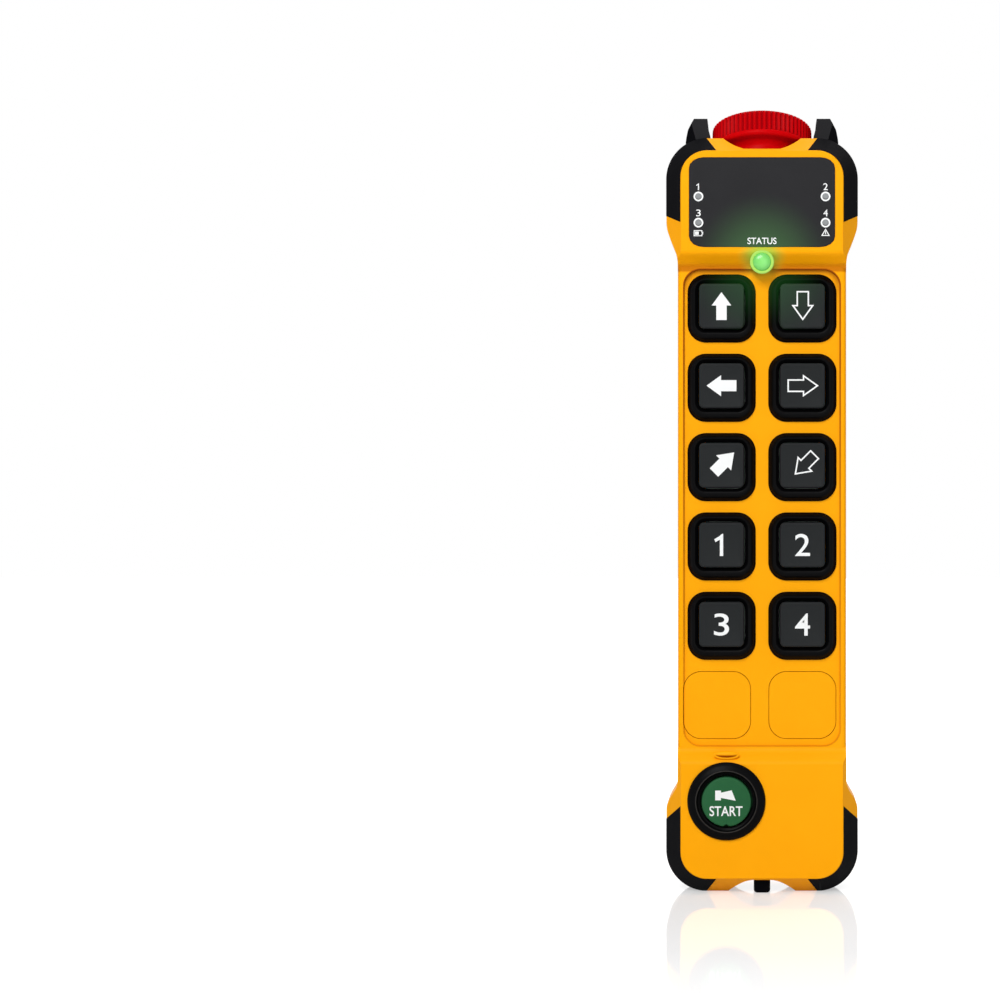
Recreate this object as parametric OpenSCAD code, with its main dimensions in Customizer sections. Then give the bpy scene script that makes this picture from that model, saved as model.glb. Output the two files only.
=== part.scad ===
// Hand-held radio remote control for a crane: a yellow two-part case with rubber
// corner bumpers, ten sprung push buttons, a START button and a tilted stop knob.

/* [Case] */
// Width of the head and the foot
case_w = 67.6; // [66.6:0.2:72]
// Height of the case without the stop knob
case_h = 266.2; // [264:0.2:275]
// Width of the grip between the head and the foot
grip_w = 59.4; // [59:0.2:61]
// Depth of the head's face in front of the parting plane
head_front = 19; // [18.6:0.2:21]
// Depth of the key panel's rails in front of the parting plane
key_front = 14; // [13.6:0.2:15]
// Depth of the foot's face in front of the parting plane
foot_front = 18; // [17.6:0.2:19]
// Depth of the head's back behind the parting plane
head_back = 20.6; // [20:0.2:23]
// Depth of the grip's back behind the parting plane
grip_back = 17; // [16.8:0.2:18]
// Height of the head from the foot of its face to the top
head_h = 40.2; // [40:0.2:43]
// Height of the foot's face from the base
foot_h = 45.2; // [44.8:0.2:47]
// Height of each slope between the key panel and a face
slope_h = 5.8; // [5:0.2:7]
// Width of the bevel round each front face
bevel = 5.4; // [4.8:0.2:6]
// Width of the bevel round the back
back_bevel = 4.6; // [4:0.2:5.4]
// Radius of the case's outer corners
corner_r = 14.5; // [13:0.5:15]
// Wall of the grip's sides
wall = 2.4; // [2.3:0.1:2.6]
// Wall behind the head's and the foot's faces
face_wall = 2.6; // [2.4:0.1:2.8]

/* [Waist] */
// Height over which the head narrows to the grip
neck_h = 15; // [12:1:17]
// Distance from the top of the case to the start of the neck
neck_drop = 29.7; // [29:0.1:32]
// Height over which the foot widens from the grip
flare_h = 10.5; // [8:0.5:12]
// Height at which the flare reaches the grip
flare_top = 39.5; // [38.5:0.5:41]

/* [Bumpers] */
// Thickness of the rubber
bumper_t = 1.9; // [1.6:0.1:2]
// How far the rubber stands proud of the case's sides
bumper_proud = 0.1; // [0.1:0.05:0.4]
// Gap left between the rubber and its seat
bumper_gap = 0.06; // [0.04:0.02:0.1]
// Distance of the bumpers' inner tips from the middle
bumper_tip = 16; // [14:0.1:17]
// Length of an upper bumper down the side of the face
upper_bumper_h = 25.2; // [24:0.1:27]
// Length of a lower bumper up the side of the face
lower_bumper_h = 25.6; // [24:0.1:27]
// Height of the guard ears above the case
ear_h = 7.6; // [5:0.1:8]

/* [Keys] */
// Distance between the two columns of buttons
column_pitch = 28.5; // [28.3:0.1:28.7]
// Distance between the rows of buttons
row_pitch = 28; // [27.6:0.1:28.1]
// Rows of buttons
button_rows = 5; // [5]
// Distance from the upper slope to the middle of the first row
row_drop = 14.3; // [14.1:0.1:14.6]
// Depth of the key panel's recess
recess_deep = 1.1; // [0.5:0.1:1.1]
// Width of the recess
recess_w = 55.2; // [54:0.2:56]
// Width of a boot where it leaves the panel
boot_w = 23.7; // [23:0.1:24]
// Corner radius of a boot
boot_r = 6.3; // [5.5:0.1:7]
// Width of a boot's crest
crest_w = 19.2; // [18.6:0.1:19.8]
// Height of a boot's crest above the recess
crest_h = 2.9; // [2:0.1:3.2]
// Width of a legend cap
cap_w = 15.8; // [15.2:0.1:16]
// Corner radius of a legend cap
cap_r = 1.5; // [1.2:0.1:2]
// Height of a cap's face above the recess
cap_h = 4; // [3.7:0.1:4.4]
// How far a cap sits above the middle of its boot
cap_rise = 0.6; // [0:0.1:0.8]
// Travel of a button
key_travel = 3.5; // [2.5:0.1:3.6]

/* [Start button] */
// Distance of the START button left of the middle
start_x = 12.5; // [11.5:0.1:13]
// Height of the START button's middle
start_v = 32.5; // [32.4:0.1:33]
// Diameter of the bezel
start_bezel_d = 27.5; // [26.5:0.1:28]
// Diameter of the green cap
start_cap_d = 17.3; // [17:0.1:18]
// Travel of the START button
start_travel = 4; // [3:0.1:4.2]

/* [Stop knob] */
// Angle by which the knob's axis leans back
stop_tilt = 18; // [17:0.5:18]
// Radius of the knob
knob_r = 17.9; // [17.2:0.1:18]
// Number of ribs round the knob
knob_ribs = 62; // [60:1:80]
// Height of the ribbed band
band_h = 6.9; // [5.4:0.1:7]
// Height of the ribs' lower end above the stop unit's origin
rim_h = 1; // [0.8:0.1:1.6]
// Radius of the skirt under the knob
skirt_r = 13.8; // [13:0.1:14]
// Travel of the knob when it is struck
stop_travel = 4; // [3:0.1:4.2]

/* [Label and lamps] */
// Width of the label plate
label_w = 51.2; // [50:0.2:52]
// Height of the label plate
label_h = 31.4; // [30.4:0.2:31.6]
// Diameter of the status lens
lens_d = 6.9; // [6:0.1:7.2]
// Width of the ring round the status lens
lens_ring = 0.8; // [0.6:0.1:0.9]
// Diameter of an indicator window
window_d = 2.1; // [1.8:0.1:2.4]

/* [Battery] */
// Width of the battery pack
pack_w = 40.4; // [38:0.2:41]
// Height of the battery pack
pack_h = 66.4; // [60:0.2:68]
// Thickness of the battery pack
pack_t = 6.2; // [5.6:0.1:6.3]
// Height of the pack's middle
pack_v = 105; // [103:1:107]

/* [Hidden] */
$fn = 48;
// One overrun serves every cut, and one thin slab serves every hull
over = 1;
slab_t = 0.02;
sides = [-1, 1];
// Clearances: a running fit, a loose one, and the gap between seated pieces
run_fit = 0.08;
slip = 0.2;
seat = 0.1;

// Heights of the case's parts
head_v = case_h - head_h;
slope_steps = 8;
key_low = foot_h + slope_h;
key_high = head_v - slope_h;
mid_v = case_h / 2;
edge_front = 11;
foot_edge_front = 10;
edge_back = 15;
edge_back_low = 11;
back_slope_drop = 6;
back_slope_v = key_high - back_slope_drop;
back_slope_h = 14;
grip_r = 5;
rail_r = 1.6;
neck_v = case_h - neck_drop;
neck_end = neck_v - neck_h;
waist_steps = 12;

// The cavity
cavity_w = grip_w - 2 * wall;
cavity_low = 6.8;
top_wall = 4.6;
cavity_high = case_h - top_wall;
cavity_r = 6;
rear_wall = 3;
panel_t = 2.8;
recess_z = key_front - recess_deep;
panel_in = recess_z - panel_t;
head_in = head_front - face_wall;
foot_in = foot_front - face_wall;
head_in_rise = 3;
head_in_drop = 8;
head_in_low = head_v + head_in_rise;
head_in_high = case_h - head_in_drop;
head_in_back = head_back - rear_wall;
foot_in_rise = 1.2;
foot_in_drop = 0.4;
foot_in_low = cavity_low + foot_in_rise;
foot_in_high = foot_h - foot_in_drop;
bulge_step = 1.3;
bulge_w = cavity_w - 2 * bulge_step;
bulge_r = 4;

// Key places, from the top left, rows outwards then columns
first_row_v = key_high - row_drop;
function row_v(row) = first_row_v - row * row_pitch;
blank_shift = 1.6;
function column_x(column) = (column - 0.5) * column_pitch;
function place_x(row, column) = column_x(column) - (row == button_rows && column == 0 ? blank_shift : 0);
recess_gap = 0.5;
recess_h = key_high - key_low - 2 * recess_gap;
recess_v = (key_high + key_low) / 2;
recess_r = 6;
BUTTONS = [
    ["up", "down"], ["left", "right"], ["forward", "reverse"], ["1", "2"], ["3", "4"]
];
places = [for (row = [0 : button_rows], column = [0, 1]) [place_x(row, column), row_v(row)]];
blank_fit = 0.1;

// Depths behind a key, from the boot's flange to the board
flange_step = 1.05;
flange_w = boot_w + 2 * flange_step;
flange_r = boot_r;
flange_t = 1.2;
boot_back = panel_in - flange_t;
frame_t = 1.2;
frame_back = boot_back - frame_t;
cap_flange_step = 0.8;
cap_flange_w = cap_w + 2 * cap_flange_step;
cap_flange_t = 1.3;
cap_fit = 0.4;
cap_bevel = 0.4;
boot_hole_w = cap_w + 2 * cap_fit;
crest_r = cap_r + (crest_w - cap_w) / 2;
stem_r = 2.42;
board_front = -5;
board_t = 1.6;
board_back = board_front - board_t;
board_w = 40.4;
board_low = 17;
board_rise = 1;
board_high = head_v + board_rise;
board_r = 2;
switch_w = 10.6;
switch_top = 3.4;
switch_floor = 1.4;
switch_spare = 0.7;
stem_end = board_front + switch_floor + key_travel + switch_spare;

// Key frame
frame_fit = 0.3;
frame_w = cavity_w - 2 * frame_fit;
frame_gap = 1.6;
frame_rise = 0.8;
frame_low = foot_h + frame_gap;
frame_high = head_v + frame_rise;
frame_hole_w = cap_flange_w + 2 * cap_fit;

// Case screws: from the base up, each row a pair
screw_x = 23.8;
foot_screw_v = 11.4;
low_screw_rise = 4.8;
high_screw_drop = 3.2;
head_screw_drop = 11.2;
screw_v = [foot_screw_v, foot_h + low_screw_rise, head_v - high_screw_drop, case_h - head_screw_drop];
boss_in = [foot_in, panel_in, panel_in, head_in];
boss_r = 2.9;
rear_boss_r = 3.4;
boss_gap = 0.05;
screw_r = 1.5;
screw_hole_r = 1.6;
screw_head_r = 2.8;
screw_head_t = 2.2;
screw_seat = -12;
screw_tip = 7.6;
screw_sink_r = 3.05;
drive_r = 1.3;
drive_deep = 1.2;

// Gasket between the shells, open where the stop knob's cup and the lanyard post cross it
gasket_in = 0.6;
gasket_w = 1;
gasket_t = 1;
gasket_fit = 0.05;

// The face's edge left showing beside the bumpers
bumper_line = 0.25;

// Lanyard arch and post
arch_w = 23.8;
arch_flat = 5.8;
arch_h = 4.7;
arch_steps = 8;
post_w = 5.8;
post_low = 0;
post_front = 15;
post_rear = 5;
post_head_w = 10;
post_head_t = 2.2;
post_head_front = 8;
post_r = 1.3;
eye_r = 1.1;
eye_v = 2.1;

// Label, windows and lens
label_rise = 1.1;
label_v = head_v + label_rise + label_h / 2;
label_t = 0.7;
label_deep = 0.5;
label_corner = [5.2, 3.8];
label_steps = 4;
window_x = 22.3;
window_rise = 9.8;
window_pitch = 9.2;
window_v = [head_v + window_rise, head_v + window_rise + window_pitch];
window_flange_r = 1.9;
window_flange_t = 1.4;
window_end = 14.3;
lens_drop = 4.1;
lens_v = head_v - lens_drop;
lens_proud = 0.4;
lens_ring_sink = 0.3;
lens_ring_z = head_front - lens_ring_sink;
lens_flange_r = 4.4;
lens_flange_t = 1.1;
led_r = 2.4;
led_top = 8.8;
led_base = 3;
leg_r = 0.3;
leg_x = 1.27;

// Indicator boards behind the windows
ind_board = [6.8, 19.6, 1];
ind_board_z = 13.5;
ind_peg_rise = 4.6;
ind_peg_v = [for (v = window_v) v + ind_peg_rise];
ind_board_rise = 1.6;
ind_board_v = ind_peg_v[0] + ind_board_rise;
ind_peg_r = 0.8;
ind_post_r = 1.5;
chip = [1.6, 1.2, 0.5];

// Raised oval above the START button
oval = [8.8, 2.8];
oval_steps = 32;
oval_rise = 3.4;
oval_v = foot_h + oval_rise;
oval_sink = 0.4;
oval_z = foot_front - oval_sink;

// START button, in depths
start_fit = 0.35;
start_bore_r = start_cap_d / 2 + start_fit;
start_hole_r = 11;
start_lip_r = 11.9;
start_lip_t = 1.1;
start_flange_t = 1;
start_crest_r = 11;
start_crest_h = 2.4;
start_crest_z = foot_front + start_crest_h;
start_cap_h = 2.6;
start_cap_z = foot_front + start_cap_h;
start_notch_r = 0.75;
start_stop_r = 10.4;
start_stop_z = [12.7, 14.1];
start_stem_r = 3.4;
start_spare = 0.6;
start_stem_end = board_front + switch_floor + start_travel + start_spare;
start_switch_w = 14;
start_switch_top = 4.4;

// Stop knob: heights along its leaning axis, from the knob's lower rim
stop_drop = 3.6;
stop_v = case_h - stop_drop;
stop_z = -1;
pocket_gap = 0.7;
pocket_r = knob_r + pocket_gap;
pocket_low = -6.6;
cup_wall = 2.2;
well_gap = 0.8;
well_r = skirt_r + well_gap;
well_low = -12;
cup_top = 14;
stop_hole_r = 8.1;
skirt_low = -5.5;
skirt_wall = 1.8;
rim_low = -1.8;
knob_top = rim_h + band_h;
crown_h = 1.9;
crown_edge = 0.9;
rib_deep = 0.6;
rib_inset = 0.12;
knob_hollow = 2;
stop_stem_r = 4.5;
stop_stem_low = -22;
stop_stem_top = 5;
hub_r = 7;
collar_r = 12.5;
collar_t = 1.6;
stop_seal_t = 0.8;
barrel_r = stop_hole_r - seat;
barrel_low = -24;
nut_r = 10.4;
nut_t = 4;
nut_gap = 0.1;
block_w = 18;
block_front = 5;
block_rear = 9.5;
block_low = -35;
block_spare = 1.3;
block_socket = barrel_low - seat - stop_stem_low + stop_travel + block_spare;

// Battery bay in the rear shell
bay_fit = 0.4;
bay_w = pack_w + 2 * bay_fit;
bay_spare = 1.2;
bay_h = pack_h + 2 * bay_fit + bay_spare;
bay_floor = 8;
bay_r = 1.5;
tray_t = 1.2;
cover_t = 2.2;
cover_side = 2.6;
cover_end = 11.8;
cover_w = bay_w + 2 * cover_side;
cover_h = bay_h + 2 * cover_end;
cover_r = 4;
cover_gap = 0.2;
cover_z = -(grip_back - cover_t);
tray_side = 1.3;
tray_end = 1.5;
tray_w = cover_w + 2 * tray_side;
tray_h = cover_h + 2 * tray_end;
seal_in = 0.5;
seal_w = 1;
seal_t = 1;
cover_screw_in = 4.5;
cover_screw_v = cover_h / 2 - cover_screw_in;
cover_screw_r = 1.6;
cover_screw_tip = -9.6;
coin_r = 3.6;
coin_t = 1.4;
coin_slot = 0.9;
coin_slot_deep = 0.7;
grip_notch = [12, 3, 0.9];
contact_w = 2.6;
contact_t = 0.7;
contact_l = board_back + bay_floor - seat + contact_t;
contact_pitch = 8;

// Radio
radio = [24, 30, 2.8];
radio_gap = 4.5;
radio_v = pack_v + tray_h / 2 + radio_gap + radio.y / 2;
antenna_base = [6, 6, 3.6];
antenna_gap = 15;
antenna_v = radio_v + radio.y / 2 + antenna_gap;
antenna_r = 1.9;
antenna_rise = 14;
antenna_h = head_v + antenna_rise - antenna_v;
antenna_z = -10;
post_x = 17;
low_post_v = 52;
board_post_v = [low_post_v, row_v(1) + row_pitch / 2];
board_post_r = 2.6;
board_screw_r = 1.1;
board_screw_head_r = 2;
board_screw_head_t = 1.3;
board_screw_l = 5;

button_nodes = [for (pair = BUTTONS, name = pair) str("button_", name)];
boot_nodes = [for (pair = BUTTONS, name = pair) str("boot_", name)];

// Working frame: x to the right, y up the case, z out of its front.
// upright() stands that frame up, so the case ends with Z up and its keys towards -Y.
module upright() rotate([90, 0, 0]) children();

module on_stop_axis() translate([0, stop_v, stop_z]) rotate([-(90 + stop_tilt), 0, 0]) children();

function ease(share) = (1 - cos(180 * share)) / 2;

module rounded_rect(w, h, r) {
    square([w - 2 * r, h], center = true);
    square([w, h - 2 * r], center = true);
    for (side = sides, end = sides)
        translate([side * (w / 2 - r), end * (h / 2 - r)]) circle(r);
}

module plate(w, h, r, from, to)
    translate([0, 0, from]) linear_extrude(to - from) rounded_rect(w, h, r);

module post(r, from, to) translate([0, 0, from]) cylinder(r = r, h = to - from);

// One end of the case as a bevelled plate: its sides, its end, and round corners between.
// dir is 1 for the head and -1 for the foot.
module end_block(dir, front, edge, back, rear_edge, grow) {
    half_w = case_w / 2 + grow;
    end_v = (dir > 0 ? case_h : 0) + dir * grow;
    reach = dir > 0 ? case_h - mid_v : mid_v;
    r = corner_r + grow;
    translate([0, mid_v, 0]) rotate([dir > 0 ? -90 : 90, 0, 0]) mirror([0, dir > 0 ? 1 : 0, 0])
        linear_extrude(reach + grow - r) polygon([
            [bevel - half_w, front], [half_w - bevel, front], [half_w, edge], [half_w, -rear_edge],
            [half_w - back_bevel, -back], [back_bevel - half_w, -back], [-half_w, -rear_edge], [-half_w, edge]
        ]);
    rotate([0, -90, 0]) translate([0, 0, r - half_w]) linear_extrude(2 * (half_w - r)) polygon([
        [front, mid_v], [front, end_v - dir * bevel], [edge, end_v], [-rear_edge, end_v],
        [-back, end_v - dir * back_bevel], [-back, mid_v]
    ]);
    for (side = sides) translate([side * (half_w - r), end_v - dir * r, 0]) {
        post(r, -rear_edge, edge);
        translate([0, 0, edge]) cylinder(r1 = r, r2 = r - bevel, h = front - edge);
        translate([0, 0, -back]) cylinder(r1 = r - back_bevel, r2 = r, h = back - rear_edge);
    }
}

// What the waist takes off each side, from the head's shoulder to the foot's flare
module waist_cut(grow) {
    deep = (case_w - grip_w) / 2 + grow;
    outer = case_w / 2 + grow;
    for (side = sides)
        translate([0, 0, -head_back - over]) linear_extrude(head_front + head_back + 2 * over)
            polygon(concat(
                [[side * (outer + over), neck_v]],
                [for (i = [0 : waist_steps]) [side * (outer - deep * ease(i / waist_steps)),
                    neck_v - neck_h * i / waist_steps]],
                [for (i = [0 : waist_steps]) [side * (outer - deep * ease(1 - i / waist_steps)),
                    flare_top - flare_h * i / waist_steps]],
                [[side * (outer + over), flare_top - flare_h]]
            ));
}

// What is missing in front of the key panel and behind the grip, with soft slopes
module panel_cuts() {
    slope = [for (i = [0 : slope_steps]) i / slope_steps];
    rotate([0, -90, 0]) translate([0, 0, -case_w]) linear_extrude(2 * case_w) {
        polygon(concat(
            [[head_front + over, foot_h]],
            [for (s = slope) [foot_front - (foot_front - key_front) * ease(s), foot_h + slope_h * s]],
            [for (s = slope) [key_front + (head_front - key_front) * ease(s), key_high + slope_h * s]],
            [[head_front + over, head_v]]
        ));
        polygon(concat(
            [[-head_back - over, -over], [-grip_back, -over]],
            [for (s = slope)
                [-grip_back - (head_back - grip_back) * ease(s), back_slope_v + back_slope_h * s]],
            [[-head_back - over, back_slope_v + back_slope_h]]
        ));
    }
}

// Rounding of the grip's four long edges, running out at both ends
module grip_rounding() {
    edge_cut(rail_r, key_front, key_low, key_high);
    mirror([0, 0, 1]) edge_cut(grip_r, grip_back, flare_top, neck_end);
}

module edge_cut(r, z, low, high)
    intersection() {
        for (side = sides) translate([0, high, 0]) rotate([90, 0, 0]) linear_extrude(high - low)
            difference() {
                translate([side * grip_w / 2, z]) square(2 * r, center = true);
                translate([side * (grip_w / 2 - r), z - r]) circle(r);
                translate([side * (grip_w / 2 - 1.5 * r), z - r]) square([r, 2 * r], center = true);
                translate([side * (grip_w / 2 - r), z - 1.5 * r]) square([2 * r, r], center = true);
            }
        rotate([0, -90, 0]) translate([0, 0, -case_w]) linear_extrude(2 * case_w)
            polygon([[z + r, low - r], [z + r, high + r], [z - r, high - r], [z - r, low + r]]);
    }

module case_body(grow = 0)
    difference() {
        union() {
            end_block(1, head_front, edge_front, head_back, edge_back, grow);
            end_block(-1, foot_front, foot_edge_front, grip_back, edge_back_low, grow);
        }
        panel_cuts();
        waist_cut(grow);
        grip_rounding();
    }

module arch() {
    step = (arch_w - arch_flat) / 2 / arch_steps;
    curve = [for (i = [0 : arch_steps]) [arch_w / 2 - i * step, arch_h * sin(90 * i / arch_steps)]];
    translate([0, 0, -head_back - over]) linear_extrude(head_front + head_back + 2 * over)
        polygon(concat(
            [[arch_w / 2, -over]], curve,
            [for (i = [arch_steps : -1 : 0]) [-curve[i].x, curve[i].y]], [[-arch_w / 2, -over]]
        ));
}

// The bumpers cover the bevels and sides outside the face's edge, between two slanting ends.
// The slant shares say how far an end moves for each unit of height or width.
// dir is 1 at the top and -1 at the foot; clear takes the fit off all round.
tip_slant_share = 0.68;
upper_slant_share = 0.55;
lower_slant_share = 1;
module bumper_zone(dir, inset, clear) {
    face_x = case_w / 2 - inset + bumper_line + clear;
    edge_v = (dir > 0 ? case_h : 0) - dir * (inset - bumper_line - clear);
    tip_x = bumper_tip + 2 * clear;
    side_v = edge_v - dir * ((dir > 0 ? upper_bumper_h : lower_bumper_h) - 2 * clear);
    far = 2 * corner_r;
    slant_share = dir > 0 ? upper_slant_share : lower_slant_share;
    difference() {
        polygon([
            [tip_x, edge_v - dir * far / 2], [tip_x, edge_v],
            [tip_x + tip_slant_share * far, edge_v + dir * far], [face_x + far, edge_v + dir * far],
            [face_x + far, side_v + dir * slant_share * far], [face_x, side_v], [face_x - far / 4, side_v]
        ]);
        translate([0, edge_v - dir * case_h / 2])
            rounded_rect(2 * face_x, case_h, corner_r - inset + bumper_line + clear);
    }
}

module bumper_zones(side, dir, clear = 0)
    mirror([side < 0 ? 1 : 0, 0, 0]) {
        linear_extrude(head_front + over) bumper_zone(dir, bevel, clear);
        translate([0, 0, -head_back - over]) linear_extrude(head_back + over)
            bumper_zone(dir, back_bevel, clear);
    }

module bumper(side, dir) {
    color("#141416") intersection() {
        difference() {
            case_body(bumper_proud);
            case_body(-(bumper_t - bumper_proud));
        }
        bumper_zones(side, dir, bumper_gap);
        translate([-case_w, 0, -case_w]) cube([2 * case_w, 2 * case_h, 2 * case_w]);
    }
    if (dir > 0) guard_ear(side);
}

module bumper_seats()
    for (side = sides, dir = sides)
        difference() {
            bumper_zones(side, dir);
            case_body(-(bumper_t - bumper_proud + bumper_gap));
        }

// Guard ear of an upper bumper, beside the stop knob
ear_outer_shares = [[1, -0.12], [0.98, 0.12], [0.93, 0.49], [0.75, 1]];
ear_inner_shares = [[0.35, 1], [0.325, 0.54], [0.26, 0.14], [0.26, 0.02], [0.54, 0.02], [0.62, -0.12]];
ear_reach = 12;
ear_foot_x = 15.2;
ear_front = 6;
ear_rear = 11;
ear_lean = 2;
ear_edge_x = 23.5;
ear_chamfer = 5;
module guard_ear(side) {
    function place(share) = [side * (ear_foot_x + ear_reach * share.x), case_h + ear_h * share.y];
    color("#2a2a2c") intersection() {
        translate([0, 0, -ear_rear - ear_lean]) linear_extrude(ear_front + ear_rear + 2 * ear_lean)
            polygon([for (share = concat(ear_outer_shares, ear_inner_shares)) place(share)]);
        rotate([0, -90, 0]) translate([0, 0, -case_w / 2]) linear_extrude(case_w) polygon([
            [ear_front + ear_lean, case_h - ear_h], [ear_front + ear_lean, case_h],
            [ear_front, case_h + ear_h], [-ear_rear, case_h + ear_h],
            [-ear_rear - ear_lean, case_h], [-ear_rear - ear_lean, case_h - ear_h]
        ]);
        translate([0, case_h + 2 * ear_h, 0]) rotate([90, 0, 0]) linear_extrude(4 * ear_h) polygon([
            [0, -case_w / 2], [0, case_w / 2], [side * ear_edge_x, case_w / 2],
            [side * ear_edge_x, ear_front + ear_lean],
            [side * (ear_edge_x + ear_chamfer), ear_front + ear_lean - ear_chamfer],
            [side * (ear_edge_x + ear_chamfer), -case_w / 2]
        ]);
    }
}

// The moulded cup that carries the stop unit, and the room inside it
module stop_cup()
    on_stop_axis() {
        post(pocket_r + cup_wall, pocket_low - cup_wall, cup_top);
        post(well_r + cup_wall, well_low - cup_wall, pocket_low);
    }

module stop_room()
    on_stop_axis() {
        post(pocket_r, pocket_low, cup_top + over);
        post(well_r, well_low, cup_top);
        post(stop_hole_r, well_low - cup_wall - over, cup_top);
    }

module cavity() {
    middle = (cavity_low + cavity_high) / 2;
    height = cavity_high - cavity_low;
    translate([0, middle, 0]) plate(cavity_w, height, cavity_r, -(grip_back - rear_wall), panel_in);
    translate([0, (head_in_low + head_in_high) / 2, 0])
        plate(bulge_w, head_in_high - head_in_low, bulge_r, -head_in_back, head_in);
    translate([0, (foot_in_low + foot_in_high) / 2, 0])
        plate(bulge_w, foot_in_high - foot_in_low, bulge_r, 0, foot_in);
}

module gasket_ring(fit = 0) {
    height = cavity_high - cavity_low;
    translate([0, (cavity_low + cavity_high) / 2, 0]) difference() {
        inner = 2 * (gasket_in - fit);
        outer = 2 * (gasket_in + gasket_w + fit);
        plate(cavity_w + outer, height + outer, cavity_r + outer / 2,
            -gasket_t / 2 - fit, gasket_t / 2 + fit);
        plate(cavity_w + inner, height + inner, cavity_r + inner / 2, -gasket_t, gasket_t);
    }
}

module case_holes() {
    gasket_ring(gasket_fit);
    bumper_seats();
    stop_room();
    arch();
    post_slot();
}

module post_slot()
    translate([0, 0, -post_rear - slip]) linear_extrude(post_front + post_rear + 2 * slip)
        square([post_w + 2 * slip, 2 * cavity_low + over], center = true);

module front_half() translate([-case_w, -case_h, 0]) cube([2 * case_w, 3 * case_h, case_w]);
module rear_half() translate([-case_w, -case_h, -case_w]) cube([2 * case_w, 3 * case_h, case_w]);

module label_shape(fit = 0) {
    half = [label_w / 2 + fit, label_h / 2 + fit];
    arc = [for (i = [0 : label_steps]) 90 * i / label_steps];
    function corner(sx, sy, turn) = [
        sx * (half.x - label_corner.x * (1 - cos(turn))), sy * (half.y - label_corner.y * (1 - sin(turn)))
    ];
    translate([0, label_v]) polygon(concat(
        [for (turn = arc) corner(1, 1, turn)], [for (turn = arc) corner(-1, 1, 90 - turn)],
        [for (turn = arc) corner(-1, -1, turn)], [for (turn = arc) corner(1, -1, 90 - turn)]
    ));
}

module window_places() for (side = sides, v = window_v) translate([side * window_x, v, 0]) children();
module screw_places() for (side = sides, i = [0 : len(screw_v) - 1])
    translate([side * screw_x, screw_v[i], 0]) { $wall_z = boss_in[i]; children(); }

module front_shell() upright() color("#fdaa0f") difference() {
    union() {
        difference() {
            intersection() { case_body(); front_half(); }
            cavity();
        }
        intersection() { case_body(); front_half(); stop_cup(); }
        screw_places() post(boss_r, boss_gap, $wall_z + seat);
        for (side = sides, v = ind_peg_v) translate([side * window_x, v, 0]) {
            post(ind_post_r, ind_board_z + seat / 2, head_in + seat);
            post(ind_peg_r, ind_board_z - 1.5 * ind_board.z, head_in + seat);
        }
        translate([0, lens_v, 0]) post(lens_d / 2 + lens_ring, panel_in, lens_ring_z);
        oval_bump();
    }
    case_holes();
    translate([0, recess_v, 0]) plate(recess_w, recess_h, recess_r, recess_z, head_front + over);
    for (place = places) translate(place)
        plate(boot_w + 2 * seat, boot_w + 2 * seat, boot_r, panel_in - over, head_front);
    translate([-start_x, start_v, 0]) post(start_hole_r, foot_in - over, foot_front + over);
    translate([0, lens_v, 0]) post(lens_d / 2 + seat, panel_in - over, head_front + over);
    window_places() post(window_d / 2 + seat, head_in - over, head_front + over);
    translate([0, 0, head_front - label_deep]) linear_extrude(label_deep + over) label_shape(seat);
    screw_places() post(screw_r - seat, -over, screw_tip + over);
}

module oval_bump()
    translate([-start_x, oval_v, panel_in + seat]) linear_extrude(oval_z - panel_in - seat)
        polygon([for (i = [0 : oval_steps - 1]) let (turn = 360 * i / oval_steps)
            [oval.x / 2 * cos(turn), oval.y / 2 * sin(turn)]]);

module rear_shell() upright() color("#fdaa0f") difference() {
    union() {
        difference() {
            intersection() { case_body(); rear_half(); }
            cavity();
        }
        intersection() { case_body(); rear_half(); stop_cup(); }
        screw_places() post(rear_boss_r, -(grip_back - rear_wall) - seat, -boss_gap);
        translate([0, pack_v, 0])
            plate(tray_w, tray_h, bay_r, -(grip_back - rear_wall) - seat, -bay_floor + tray_t);
        for (side = sides, v = board_post_v)
            translate([side * post_x, v, 0]) post(board_post_r, -(grip_back - rear_wall) - seat, board_back);
    }
    case_holes();
    screw_places() {
        post(screw_hole_r, -head_back, over);
        post(screw_sink_r, -head_back - over, screw_seat);
    }
    translate([0, pack_v, 0]) {
        plate(bay_w, bay_h, bay_r, -grip_back, -bay_floor);
        plate(cover_w + 2 * cover_gap, cover_h + 2 * cover_gap, cover_r, -grip_back - over, cover_z);
        seal_groove(seal_t + seat);
        for (end = sides) translate([0, end * cover_screw_v, 0])
            post(cover_screw_r + run_fit, -grip_back, cover_screw_tip + over);
    }
    for (side = sides, v = board_post_v)
        translate([side * post_x, v, 0]) post(board_screw_r - seat, -grip_back + rear_wall, 0);
    contact_slots();
}

module seal_groove(deep)
    difference() {
        inner = 2 * seal_in;
        outer = inner + 2 * seal_w;
        plate(bay_w + outer, bay_h + outer, bay_r + outer / 2, cover_z, cover_z + deep);
        plate(bay_w + inner, bay_h + inner, bay_r + inner / 2, cover_z - over, cover_z + deep + over);
    }

module contact_places() for (i = [-1, 0, 1])
    translate([i * contact_pitch, pack_v + bay_h / 2 - contact_t, -bay_floor]) children();

module contact_slots() contact_places()
    translate([-contact_w / 2 - seat, -seat, -contact_t])
        cube([contact_w + 2 * seat, contact_t + seat, contact_t + tray_t + over]);

module case_gasket() upright() color("#1c1c1e") difference() {
    gasket_ring();
    stop_cup();
    stop_room();
    post_slot();
}

module case_screws() upright() color("#9a9da0") screw_places() difference() {
    union() {
        post(screw_r - 2 * seat, screw_seat, screw_tip);
        post(screw_head_r, screw_seat - screw_head_t, screw_seat);
    }
    translate([0, 0, screw_seat - screw_head_t - over]) cylinder(r = drive_r, h = drive_deep + over, $fn = 6);
}

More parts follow.
